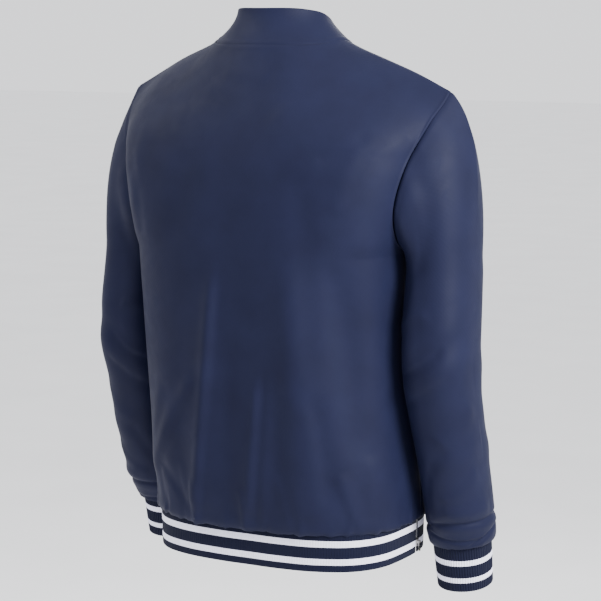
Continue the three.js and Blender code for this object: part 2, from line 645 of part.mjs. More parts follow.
// The pull hangs from its pin towards hang (-1 or 1) along z; lift is how far its end stands off the zip.
function sliderPull({ width, tab, tabWidth, hang, lift }) {
  const { pin, lug, pinOut, pinBack } = SLIDER;
  const inner = width - 2 * lug - 1.2;
  const r = tabWidth / 2;
  const outline = new THREE.Shape();
  outline.moveTo(-inner / 2, 0);
  outline.lineTo(-inner / 2, -2.4).lineTo(-r, -tab * 0.4).lineTo(-r, -tab + r);
  outline.absarc(0, -tab + r, r, Math.PI, 2 * Math.PI, false);
  outline.lineTo(r, -tab * 0.4).lineTo(inner / 2, -2.4).lineTo(inner / 2, 0);
  outline.holes.push(new THREE.Path().absarc(0, -tab + r, r * 0.45, 0, 2 * Math.PI, true));
  const blade = new THREE.ExtrudeGeometry(outline, { depth: 1.2, bevelEnabled: false, curveSegments: 8 });
  blade.translate(0, 0, -0.6);
  blade.applyMatrix4(new THREE.Matrix4().makeBasis(vec(1, 0, 0), vec(0, 0, -hang), vec(0, hang, 0)));
  blade.rotateX(-hang * THREE.MathUtils.degToRad(lift));
  const pull = union([blade, rod(1.1, inner, 0, 0), rod(pin, width - 1, 0, 0, 10)]);
  return toGeometry(pull).translate(0, pinOut, pinBack);
}

// Carries a slider piece to its place: at on the strip's face, out away from the cloth, along to the bridge.
function seat(geometry, at, out, along) {
  const across = out.clone().cross(along).normalize();
  const frame = new THREE.Matrix4().makeBasis(across, out, along.clone().normalize());
  return geometry.applyMatrix4(frame).translate(at.x, at.y, at.z);
}

// ---------------------------------------------------------------- pieces
const HANDS = { left: 1, right: -1 };
const GAP = SEAM / 2;

const FINISH = {
  shell: new THREE.MeshStandardMaterial({ color: 0x28365a, roughness: 0.5, metalness: 0 }),
  rib: new THREE.MeshStandardMaterial({ color: 0x1c2748, roughness: 0.85, metalness: 0 }),
  tape: new THREE.MeshStandardMaterial({ color: 0x222e4e, roughness: 0.7, metalness: 0 }),
  metal: new THREE.MeshStandardMaterial({ color: 0xb9bcc2, roughness: 0.3, metalness: 1 }),
};

const jacket = new THREE.Group();
function piece(name, geometry, material) {
  const mesh = new THREE.Mesh(geometry, material);
  mesh.name = name;
  jacket.add(mesh);
}

function bodyPanels() {
  const surface = (side) => [(s, level) => torso(side, s, level), (s, level) => torsoOut(side, s, level)];
  const whole = [...HALF_S.slice(1).map((s) => -s).reverse(), ...HALF_S];
  piece('back', panel(...surface('back'), whole, LEVELS, [GAP, GAP, GAP, GAP], SHELL), FINISH.shell);
  const left = panel(...surface('front'), HALF_S, LEVELS, [ZIP_HALF, GAP, GAP, GAP], SHELL);
  piece('front_left', left, FINISH.shell);
  const mirrored = HALF_S.map((s) => -s).reverse();
  const right = panel(...surface('front'), mirrored, LEVELS, [GAP, ZIP_HALF, GAP, GAP], SHELL);
  piece('front_right', right, FINISH.shell);
}

function sleevePiece(name, hand) {
  const turns = steps(2 * YOKE_ROWS).slice(0, -1);
  const levels = [...steps(CAP_ROWS, -1, 0), ...steps(ARM_ROWS, 0, 0.9).slice(1), ...POUCH_LEVELS];
  const d = 1e-3;
  const grid = (extra, depth) => levels.map((level0, i) => turns.map((turn) => {
    const way = i === 0 ? 1 : -1;
    const end = i === 0 || i === levels.length - 1;
    const speed = sleeve(hand, turn, level0 + way * d).distanceTo(sleeve(hand, turn, level0)) / d;
    const level = level0 + (end ? (way * (GAP + extra)) / speed : 0);
    return sleeve(hand, turn, level).addScaledVector(sleeveOut(hand, turn, level), -depth);
  }));
  piece(`sleeve_${name}`, wall(grid(0, 0), grid(TUCK, SHELL), true), FINISH.shell);
}

function collarPiece() {
  const turns = steps(4 * NECK_COLUMNS, -180, 180);
  const geometry = panel(collar, collarOut, turns, steps(COLLAR_ROWS), [ZIP_HALF, ZIP_HALF, GAP, 0], COLLAR);
  piece('collar', geometry, FINISH.shell);
}

function bands() {
  piece('hem_back', hemBand(-HEM_SIDE, HEM_SIDE, SIDE_ZIP_HALF, GAP), FINISH.rib);
  piece('hem_front_left', hemBand(HEM_SIDE, 180, GAP, ZIP_HALF), FINISH.rib);
  piece('hem_front_right', hemBand(-180, -HEM_SIDE, ZIP_HALF, SIDE_ZIP_HALF), FINISH.rib);
  Object.entries(HANDS).forEach(([name, hand]) => piece(`cuff_${name}`, cuff(hand), FINISH.rib));
}

function frontZip() {
  const s = (level) => nearCentre('front', level, ZIP_HALF);
  const line = [
    ...HEM.map(({ drop }) => hem(180, drop)).reverse(),
    ...LEVELS.slice(1).map((level) => torso('front', s(level), level).sub(vec(ZIP_HALF, 0, 0))),
    ...steps(COLLAR_ROWS + 1, 0, ZIP_END).slice(1).map((level) => collar(180, level)),
  ];
  const path = stations(line, vec(1, 0, 0), (p) => vec(0, 15, p.z));
  Object.entries(HANDS).forEach(([name, hand]) => {
    piece(`front_zip_${name}`, zipHalf(path, vec(hand, 0, 0), GAP, ZIP_HALF - SEAM), FINISH.tape);
  });
  const { at, out } = path[path.length - 1];
  const along = vec(0, -out.z, out.y).multiplyScalar(Math.sign(out.y));
  const start = at.clone().addScaledVector(along, SEAM);
  piece('front_slider', seat(sliderBody(FRONT_SLIDER), start, out, along), FINISH.metal);
  piece('front_pull', seat(sliderPull(FRONT_SLIDER), start, out, along), FINISH.metal);
}

function sideZip() {
  const drops = steps(HEM.length - 1, 0, HEM_DEPTH - SIDE_ZIP_SHORT - SLIDER.bridge - SEAM);
  const line = drops.map((drop) => hem(-HEM_SIDE, drop));
  const path = stations(line, vec(0, 1, 0), (p) => vec(0, 15, p.z));
  const halves = { back: 1, front: -1 };
  Object.entries(halves).forEach(([name, way]) => {
    piece(`side_zip_${name}`, zipHalf(path, vec(0, way, 0), GAP, SIDE_ZIP_HALF - SEAM), FINISH.tape);
  });
  const { at, out } = path[path.length - 1];
  const along = vec(-out.z, 0, out.x).multiplyScalar(out.x < 0 ? 1 : -1);
  const start = at.clone().addScaledVector(along, SEAM);
  piece('side_slider', seat(sliderBody(SIDE_SLIDER), start, out, along), FINISH.metal);
  piece('side_pull', seat(sliderPull(SIDE_SLIDER), start, out, along), FINISH.metal);
}

bodyPanels();
Object.entries(HANDS).forEach(([name, hand]) => sleevePiece(name, hand));
collarPiece();
bands();
frontZip();
sideZip();

export default jacket;
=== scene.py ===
"""Dresses a worn bomber jacket: satin cloth shells, knitted bands, collar, zips and studio.

Sizes are in millimetres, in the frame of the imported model, until a mesh is made in metres.
The wearer's front looks along -Y and the right side along -X; the origin lies between the side-neck points.
"""
from __future__ import annotations

import logging
import math
from dataclasses import dataclass, field
from enum import Enum
from functools import partial
from typing import Any, Callable, Iterable, Sequence

import bpy
import numpy as np
from mathutils import Matrix, Vector


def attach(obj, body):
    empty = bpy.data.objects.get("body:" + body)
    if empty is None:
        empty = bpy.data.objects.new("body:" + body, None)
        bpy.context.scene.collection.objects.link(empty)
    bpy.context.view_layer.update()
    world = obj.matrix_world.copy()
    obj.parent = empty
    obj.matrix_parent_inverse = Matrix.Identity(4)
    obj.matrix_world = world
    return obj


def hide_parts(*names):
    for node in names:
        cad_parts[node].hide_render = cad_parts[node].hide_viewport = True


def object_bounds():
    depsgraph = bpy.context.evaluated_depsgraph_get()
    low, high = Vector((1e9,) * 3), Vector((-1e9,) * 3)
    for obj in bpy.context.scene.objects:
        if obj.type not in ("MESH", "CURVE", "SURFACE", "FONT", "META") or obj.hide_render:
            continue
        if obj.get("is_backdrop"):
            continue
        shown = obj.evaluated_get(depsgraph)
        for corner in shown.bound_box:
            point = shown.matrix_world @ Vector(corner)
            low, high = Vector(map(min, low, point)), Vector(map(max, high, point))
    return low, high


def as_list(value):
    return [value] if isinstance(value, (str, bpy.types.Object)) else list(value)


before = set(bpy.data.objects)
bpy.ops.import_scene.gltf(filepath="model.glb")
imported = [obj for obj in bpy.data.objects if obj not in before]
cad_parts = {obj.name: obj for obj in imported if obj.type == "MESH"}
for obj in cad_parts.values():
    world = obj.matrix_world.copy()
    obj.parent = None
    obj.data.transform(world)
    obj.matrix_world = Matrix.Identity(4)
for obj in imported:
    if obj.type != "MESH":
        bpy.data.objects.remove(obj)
CAD_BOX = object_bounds()

Array = np.ndarray
Material = bpy.types.Material
Node = bpy.types.Node
Piece = bpy.types.Object
Socket = bpy.types.NodeSocket
Tree = bpy.types.NodeTree
LOG = logging.getLogger("jacket")
MM = 0.001
BODY = "garment"


class Side(Enum):
    """The two halves of the body."""

    BACK = "back"
    FRONT = "front"


class Hand(Enum):
    """The wearer's left or right, with the sign of X on that side."""

    LEFT = 1
    RIGHT = -1

    @property
    def word(self) -> str:
        """The hand's name as node names use it."""
        return self.name.lower()


# ---------------------------------------------------------------- sizes shared with the solids
SIDE_NECK = 5 / 11  # share of the yoke's width where the neck seam ends
YOKE_BLEND = 1.6  # level above which the yoke turns in to the shoulder and neck seams
SWAY = 11.0  # how far the hem hangs to the wearer's right
HEM_TILT_BACK = 0.032  # the hem is carried lower at the back
HEM_LEVEL = -630.0  # height of the hem seam
HEM_DEPTH = 55.0  # height of the hem band
HEM_SIDE = 103.0  # turn of the band's side seams, in degrees from the centre back
BODY_CORE = 15.0  # place front to back of an upright line inside the body
CUFF_DEPTH = 72.0  # height of each cuff
ZIP_HALF = 6.3  # from the closing line to the edge of the shell
SIDE_ZIP_HALF = 3.2  # from the side closing line to the edge of the hem band
ZIP_TAPE = 1.8  # thickness of tape and teeth
ZIP_END = 0.93  # share of the collar's height that the front zip climbs
COLLAR = 3.0  # thickness of the collar
RIB_PITCH = 3.6  # one rib and one valley
SLEEVE_GIRTH = 330.0  # turns to millimetres for the sleeve folds
LEFT_LIFT = 12.0  # how much higher the left cuff lies
LEFT_PUSH = 8.0  # and its cuff is pushed this much further up under the sleeve
LEFT_EASE = 6.0  # and the sleeve above that cuff is this much fuller towards the body
PUSHED_FROM = 0.97  # level of the sleeve below which it follows its pushed-up cuff

# Steps of these two shares spread sizes and places evenly, yet never alike.
GOLDEN = 0.618034
PLASTIC = 0.754878


# ---------------------------------------------------------------- tables
def hermite(t: Array, p0: Array, d0: Array, p1: Array, d1: Array) -> Array:
    """Cubic between two values with a slope at each.

    Args:
        t: Place between them, 0 to 1.
        p0, d0: Value and slope at the start.
        p1, d1: Value and slope at the end.

    Returns:
        The values at t.
    """
    s = t * t
    c = s * t
    return p0 * (2 * c - 3 * s + 1) + d0 * (c - 2 * s + t) + p1 * (3 * s - 2 * c) + d1 * (c - s)


def smooth(t: Array | float) -> Array:
    """Smooth step from 0 to 1."""
    t = np.clip(t, 0.0, 1.0)
    return t * t * (3 - 2 * t)


@dataclass(frozen=True)
class Table:
    """Named columns over a first column that rises, read smoothly between its rows.

    Attributes:
        names: Column names, parted by spaces.
        rows: The rows.
    """

    names: str
    rows: tuple[tuple[float, ...], ...]

    def read(self, column: str, at: Array | float) -> Array:
        """Values of a column.

        Args:
            column: The column's name.
            at: Places along the first column.

        Returns:
            The values, in the shape of at.
        """
        data = np.array(self.rows)
        x, y = data[:, 0], data[:, self.names.split().index(column)]
        gap = np.diff(x)
        slope = np.diff(y) / gap
        inner = (slope[:-1] * gap[1:] + slope[1:] * gap[:-1]) / (gap[:-1] + gap[1:])
        tangent = np.concatenate([slope[:1], inner, slope[-1:]])
        at = np.asarray(at, float)
        k = np.clip(np.searchsorted(x, at, side="left") - 1, 0, len(x) - 2)
        return hermite((at - x[k]) / gap[k], y[k], tangent[k] * gap[k], y[k + 1], tangent[k + 1] * gap[k])

    def each(self) -> Iterable[dict[str, float]]:
        """The rows as dictionaries."""
        return (dict(zip(self.names.split(), row)) for row in self.rows)


BODY_RINGS = Table("level z half mid back front square seam", (
    (0.000, -630, 180, 12, 140, -112, 3.0, 103),
    (0.020, -636, 182.6, 12, 144, -115, 3.0, 103),
    (0.045, -632, 184.8, 13, 149, -119, 3.0, 102),
    (0.100, -611, 184.6, 14, 153, -122, 3.0, 102),
    (0.350, -516, 185, 17, 161, -126, 3.0, 98),
    (0.600, -424, 186, 18, 165, -125, 3.0, 94),
    (0.800, -350, 187, 18, 168, -124, 3.0, 91),
    (1.000, -276, 191, 18, 169, -122, 3.0, 90),
))
YOKES = {
    Side.BACK: Table("level cy cz ex ey ez mid square", (
        (1.00, 169, -276, 191, 18, -276, 18, 3.0),
        (1.17, 168, -238, 195, 60, -257, 18, 3.0),
        (1.33, 165, -198, 200, 81, -219, 17, 3.0),
        (1.41, 162, -178, 204, 82, -198, 16, 3.0),
        (1.51, 157, -152, 211, 77, -170, 14, 2.9),
        (1.60, 150, -126, 217, 67, -147, 12, 2.8),
        (1.71, 139, -94, 227, 54, -122, 9, 2.7),
        (1.82, 126, -62, 235, 37, -98, 6, 2.6),
        (1.92, 112, -31, 240, 17, -80, 3, 2.5),
        (2.00, 100, -5, 242, 2, -65, 2, 2.5),
    )),
    Side.FRONT: Table("level cy cz ex ey ez mid square", (
        (1.00, -122, -276, 191, 18, -276, 18, 3.0),
        (1.17, -121, -248, 194, -22, -257, 18, 3.0),
        (1.33, -118, -220, 199, -44, -222, 17, 3.0),
        (1.41, -115, -206, 202, -48, -202, 16, 3.0),
        (1.51, -110, -186, 207, -51, -174, 14, 2.9),
        (1.60, -105, -168, 213, -50, -150, 12, 2.8),
        (1.71, -97, -145, 222, -44, -124, 9, 2.7),
        (1.82, -87, -121, 231, -32, -100, 6, 2.6),
        (1.92, -76, -98, 238, -15, -80, 3, 2.5),
        (2.00, -66, -80, 242, 2, -65, 2, 2.5),
    )),
}
SHOULDER = Table("along x y z", (
    (0.00, 96, 16, 0),
    (0.15, 116, 17, -9),
    (0.40, 152, 15, -23),
    (0.72, 200, 5, -44),
    (1.00, 242, 2, -65),
))
NECK = Table("turn half centre depth z flare", (
    (-60, 93, 16, 84, -4, 1.7),
    (0, 92, 16, 84, -5, 1.7),
    (60, 93, 16, 84, -4, 1.7),
    (90, 96, 16, 83, 0, 1.4),
    (120, 100, 16, 82, -18, 1.1),
    (150, 98, 16, 82, -57, 1.1),
    (180, 97, 16, 82, -80, 1.1),
    (210, 98, 16, 82, -57, 1.1),
))
COLLAR_TOP = Table("turn half centre depth z", (
    (-60, 62, 14, 62, 40),
    (0, 62, 14, 62, 42),
    (60, 62, 14, 62, 40),
    (90, 63, 14, 62, 34),
    (120, 66, 12, 61, 17),
    (150, 65, 10, 60, -12),
    (180, 64, 8, 60, -32),
    (210, 65, 10, 60, -12),
))
ARM = Table("level z x y outer inner back front pitch square", (
    (0.00, -300, 231, 4, 50, 37, 59, 58, 0, 2.6),
    (0.20, -372, 231, 13, 53, 38, 60, 58, 0, 2.6),
    (0.34, -420, 232, 17, 53, 39, 58, 57, 0, 2.5),
    (0.52, -482, 232, 1, 52, 38, 55, 55, 3, 2.4),
    (0.70, -545, 233, -17, 51, 35, 54, 53, 6, 2.3),
    (0.85, -604, 235, -34, 50, 37.5, 51, 50, 9, 2.2),
    (0.93, -645, 235, -50, 48, 42.5, 47, 47, 10, 2.1),
    (0.96, -662, 235, -57, 46, 44, 45.5, 45.5, 10, 2.1),
    (0.98, -667, 235, -59, 43.5, 43.5, 43.5, 43.5, 10, 2.0),
    (1.00, -659, 235, -57, 41.2, 41.2, 41.2, 41.2, 10, 2.0),
))
HEAD = Table("turn out back down reach", (
    (0.00, 0.92, -0.25, 0.95, 0.62),
    (0.25, 0.55, 0.25, 0.80, 1.00),
    (0.50, 0.80, 0.00, 0.60, 1.00),
    (0.75, 0.55, -0.25, 0.80, 1.00),
    (1.00, 0.92, -0.25, 0.95, 0.62),
))
HEM_RINGS = Table("drop half mid back front square", (
    (0, 178.5, 12, 138.6, -110.6, 3.0),
    (HEM_DEPTH, 177, 12, 138, -110, 3.0),
))
CUFF_RINGS = Table("drop across fore", (
    (0, 39.4, 39.4),
    (CUFF_DEPTH, 36.6, 37.8),
))

# Broad folds, as in the solids: soft ridges and troughs between two places, breadth to each side.
FOLD_NAMES = "x1 z1 x2 z2 breadth rise"
BACK_FOLDS = Table(FOLD_NAMES, (
    (25, -300, 42, -600, 28, 5),
    (98, -440, 150, -570, 20, 4),
    (-46, -470, -30, -625, 18, 4),
    (-94, -290, -112, -610, 24, 5),
    (-148, -320, -182, -540, 26, -6),
    (0, -400, 6, -615, 18, -3),
    (75, -470, 84, -620, 18, -3),
    (-72, -430, -70, -610, 14, -3),
))
FRONT_FOLDS = Table(FOLD_NAMES, (
    (96, -260, 124, -590, 26, 4),
    (-88, -280, -118, -600, 26, 4),
    (52, -420, 60, -620, 18, -3),
    (-46, -440, -52, -620, 18, -3),
    (158, -330, 168, -560, 22, -4),
    (-160, -310, -166, -540, 22, -4),
))
SLEEVE_FOLDS = Table(FOLD_NAMES, (
    (0.10, -385, 0.36, -425, 16, -4),
    (0.62, -380, 0.92, -430, 20, 5),
    (0.60, -420, 0.86, -465, 14, -4),
    (0.02, -520, 0.24, -560, 20, 3),
    (0.66, -500, 0.94, -540, 16, 3),
    (0.04, -612, 0.30, -628, 10, 3),
    (0.55, -606, 0.85, -622, 10, 3),
    (0.12, -150, 0.20, -300, 24, 3),
))

# Creases, finer than the folds. lean: below 0 the side to the right of the line is steeper, above 0 the left.
# bow: how far the crease's middle lies off its straight line.
CREASE_NAMES = "x1 z1 x2 z2 breadth rise lean bow"
BACK_CREASES = Table(CREASE_NAMES, (
    (17, -312, 56, -624, 9.5, 6.4, -0.3, 3),
    (54, -444, 148, -584, 11, 5.2, -0.3, -3),
    (104, -455, 150, -590, 12, -2.0, 0.0, 5),
    (-44, -448, -22, -626, 6, 2.1, -0.2, 2),
    (-55, -430, -36, -628, 6, -2.2, 0.0, 2),
    (-104, -180, -112, -420, 16, -1.6, 0.0, 6),
    (-140, -280, -162, -530, 16, -3.0, 0.0, 8),
    (-120, -460, -136, -596, 12, -2.6, 0.2, 3),
    (-88, -290, -92, -480, 18, 2.2, 0.0, 3),
    (128, -565, 60, -632, 9, -2.0, 0.3, 3),
    (-176, -250, -180, -500, 12, 1.6, 0.0, 0),
    (70, -150, 84, -260, 20, -1.2, 0.0, 6),
    (-60, -90, -120, -170, 22, 1.3, 0.0, -10),
    (-168, -128, -150, -215, 12, 1.2, 0.0, 0),
    (-175, -120, -125, -150, 10, -1.0, 0.0, 6),
    (150, -110, 168, -230, 14, 1.4, 0.0, 0),
    (176, -150, 150, -260, 10, -1.2, 0.0, 8),
    (-180, -540, -180, -640, 10, 2.2, 0.3, 0),
    (-148, -560, -168, -632, 8, 2.4, 0.3, 0),
    (-18, -585, -20, -640, 5, 2.6, -0.3, 0),
    (60, -580, 62, -640, 6, 2.8, 0.3, 0),
    (-70, -560, -84, -628, 7, 1.2, -0.3, 0),
    (84, -560, 70, -628, 7, 1.3, 0.3, 0),
    (132, -570, 120, -628, 6, -1.2, 0.0, 0),
    (30, -36, -34, -46, 12, 0.8, 0.0, 0),
))
FRONT_CREASES = Table(CREASE_NAMES, (
    (60, -250, 84, -600, 10, 2.2, 0.4, 5),
    (-52, -280, -70, -600, 10, 2.2, -0.4, -5),
    (130, -300, 150, -560, 14, -2.0, 0.0, 6),
    (-134, -290, -150, -560, 14, -2.0, 0.0, -6),
    (150, -120, 120, -240, 14, 1.4, 0.0, 8),
    (-150, -120, -118, -240, 14, 1.4, 0.0, -8),
    (176, -150, 140, -280, 10, -1.3, 0.0, 8),
    (-176, -150, -140, -280, 10, -1.3, 0.0, -8),
    (30, -520, 24, -626, 7, 1.4, 0.3, 0),
    (-30, -500, -22, -626, 7, 1.4, -0.3, 0),
    (100, -560, 112, -628, 8, 1.3, 0.0, 0),
    (-100, -560, -112, -628, 8, 1.3, 0.0, 0),
))
# Sleeve creases by distance round the sleeve in millimetres (0 outside, 82 back, 165 under the arm) and by
# height.
SLEEVE_CREASES = Table(CREASE_NAMES, (
    (52, -395, 128, -432, 8, -2.4, 0.4, 8),
    (40, -430, 120, -470, 9, -1.8, 0.3, 6),
    (70, -350, 132, -372, 9, 1.8, 0.0, -6),
    (110, -300, 128, -420, 10, -1.6, 0.0, 0),
    (14, -470, 66, -520, 12, 1.6, 0.0, 8),
    (60, -530, 104, -610, 10, -1.6, 0.0, -6),
    (20, -560, 74, -600, 9, 1.5, 0.3, 8),
    (196, -360, 272, -404, 9, 2.2, 0.3, -8),
    (190, -400, 280, -440, 8, -2.4, 0.3, 8),
    (196, -440, 270, -478, 9, 1.8, 0.0, 8),
    (210, -540, 280, -580, 9, 1.6, 0.0, 8),
    (10, -120, 30, -260, 18, 1.2, 0.0, 0),
    (60, -180, 92, -300, 12, -1.3, 0.0, 6),
    (280, -150, 300, -290, 14, -1.4, 0.0, 6),
))
# Rolls of cloth pushed up above the cuff: by distance round the sleeve and distance up from the fold.
PUSHED_ROLLS = Table(CREASE_NAMES, (
    (-34, 38, 100, 42, 3.2, -2.8, 0.0, -3),
    (-28, 28, 92, 33, 8.0, 1.6, 0.0, -3),
    (-62, 30, 44, 6, 3.2, -2.8, 0.0, -4),
    (34, 14, 112, 24, 3.0, -2.2, 0.0, 4),
    (6, 56, 74, 66, 11.0, 1.4, 0.0, 5),
    (110, 36, 196, 28, 3.4, -2.4, 0.0, 5),
    (120, 24, 190, 20, 7.0, 1.4, 0.0, 4),
    (150, 10, 236, 14, 3.0, -2.2, 0.0, -4),
    (204, 40, 284, 33, 5.0, -2.2, 0.0, 5),
    (232, 22, 282, 27, 8.0, 1.3, 0.0, 0),
    (214, 66, 282, 56, 11.0, -1.2, 0.0, 5),
))


# ---------------------------------------------------------------- shapes of points
def rounded(angle: Array, square: Array) -> tuple[Array, Array]:
    """Point of a unit rounded square.

    Args:
        angle: Angle in radians.
        square: 2 for a circle, more for squarer corners.

    Returns:
        Its sine part and its cosine part.
    """
    s, c = np.sin(angle), np.cos(angle)
    r = (np.abs(s) ** square + np.abs(c) ** square) ** (1 / square)
    return s / r, c / r


def points(x: Array, y: Array, z: Array) -> Array:
    """Stacks coordinates into points."""
    return np.stack(np.broadcast_arrays(x, y, z), axis=-1).astype(float)


def unit(v: Array) -> Array:
    """Vectors scaled to length 1."""
    return v / np.maximum(np.linalg.norm(v, axis=-1, keepdims=True), 1e-9)


def sign_of(s: Array) -> Array:
    """-1 where s is below 0, and 1 elsewhere."""
    return np.where(s < 0, -1.0, 1.0)


def folds(table: Table, x: Array, z: Array, scale: float = 1.0) -> Array:
    """Height of all broad folds at places of a cloth.

    Args:
        table: The folds.
        x: Places across, in the table's unit.
        z: Places down, in millimetres.
        scale: Millimetres to one unit of x.

    Returns:
        Heights in millimetres.
    """
    total = np.zeros(np.shape(x))
    for f in table.each():
        dx, dz = (f["x2"] - f["x1"]) * scale, f["z2"] - f["z1"]
        px, pz = (x - f["x1"]) * scale, z - f["z1"]
        t = np.clip((px * dx + pz * dz) / (dx * dx + dz * dz), 0, 1)
        away = np.hypot(px - t * dx, pz - t * dz) / f["breadth"]
        swell = np.sin(np.pi * (0.12 + 0.76 * t))  # full in the middle, low at both ends
        total += f["rise"] * np.exp(-away * away) * swell
    return total


def creases(table: Table, x: Array, z: Array, wrap: float = 0.0, ends: float = 0.22) -> Array:
    """Height of all creases at places of a cloth.

    Args:
        table: The creases.
        x: Places across, in millimetres.
        z: Places down or up, in millimetres.
        wrap: Girth after which x repeats, or 0.
        ends: Share of a crease's length over which each end fades.

    Returns:
        Heights in millimetres.
    """
    total = np.zeros(np.shape(x))
    for c in table.each():
        dx, dz = c["x2"] - c["x1"], c["z2"] - c["z1"]
        length = float(np.hypot(dx, dz))
        px, pz = x - c["x1"], z - c["z1"]
        if wrap:
            px = (px - dx / 2 + wrap / 2) % wrap - wrap / 2 + dx / 2
        t = (px * dx + pz * dz) / length**2
        within = np.clip(t, 0, 1)
        side = (px * dz - pz * dx) / length - c["bow"] * 4 * within * (1 - within)
        breadth = c["breadth"] * (1 + c["lean"] * np.sign(side))
        fade = smooth(t / ends + 0.5) * smooth((1 - t) / ends + 0.5)
        total += c["rise"] * fade * np.exp(-((side / breadth) ** 2))
    return total


@dataclass(frozen=True)
class Puckers:
    """Small gathers where woven cloth is eased into a seam.

    Attributes:
        spacing: Usual distance between gathers.
        reach: How far they run up from the seam.
        rise: Their height.
        narrowest: Breadth to each side of the narrowest gather.
        widening: How much broader the widest is.
        trough: Height of every third gather, a trough, as a share of the others'.
    """

    spacing: float = 15.0
    reach: float = 24.0
    rise: float = 1.0
    narrowest: float = 2.2
    widening: float = 2.6
    trough: float = -0.8

    def height(self, along: Array, away: Array) -> Array:
        """Height of the gathers.

        Args:
            along: Distance along the seam.
            away: Distance from the seam.

        Returns:
            Heights in millimetres.
        """
        total = np.zeros(np.shape(along))
        for k in range(int(along.max() / self.spacing)):
            uneven, other = (k * GOLDEN) % 1.0, (k * PLASTIC + 0.3) % 1.0
            place = (k + 0.25 + 0.6 * uneven) * self.spacing
            reach = self.reach * (0.35 + 1.3 * other * other)
            bend = (uneven - 0.5) * 0.5
            side = (along - place - bend * away) / (self.narrowest + self.widening * uneven)
            rise = self.rise * (0.3 + 0.9 * other) * (1 if k % 3 else self.trough)
            total += rise * np.exp(-(side**2)) * np.exp(-((away / reach) ** 2))
        return total


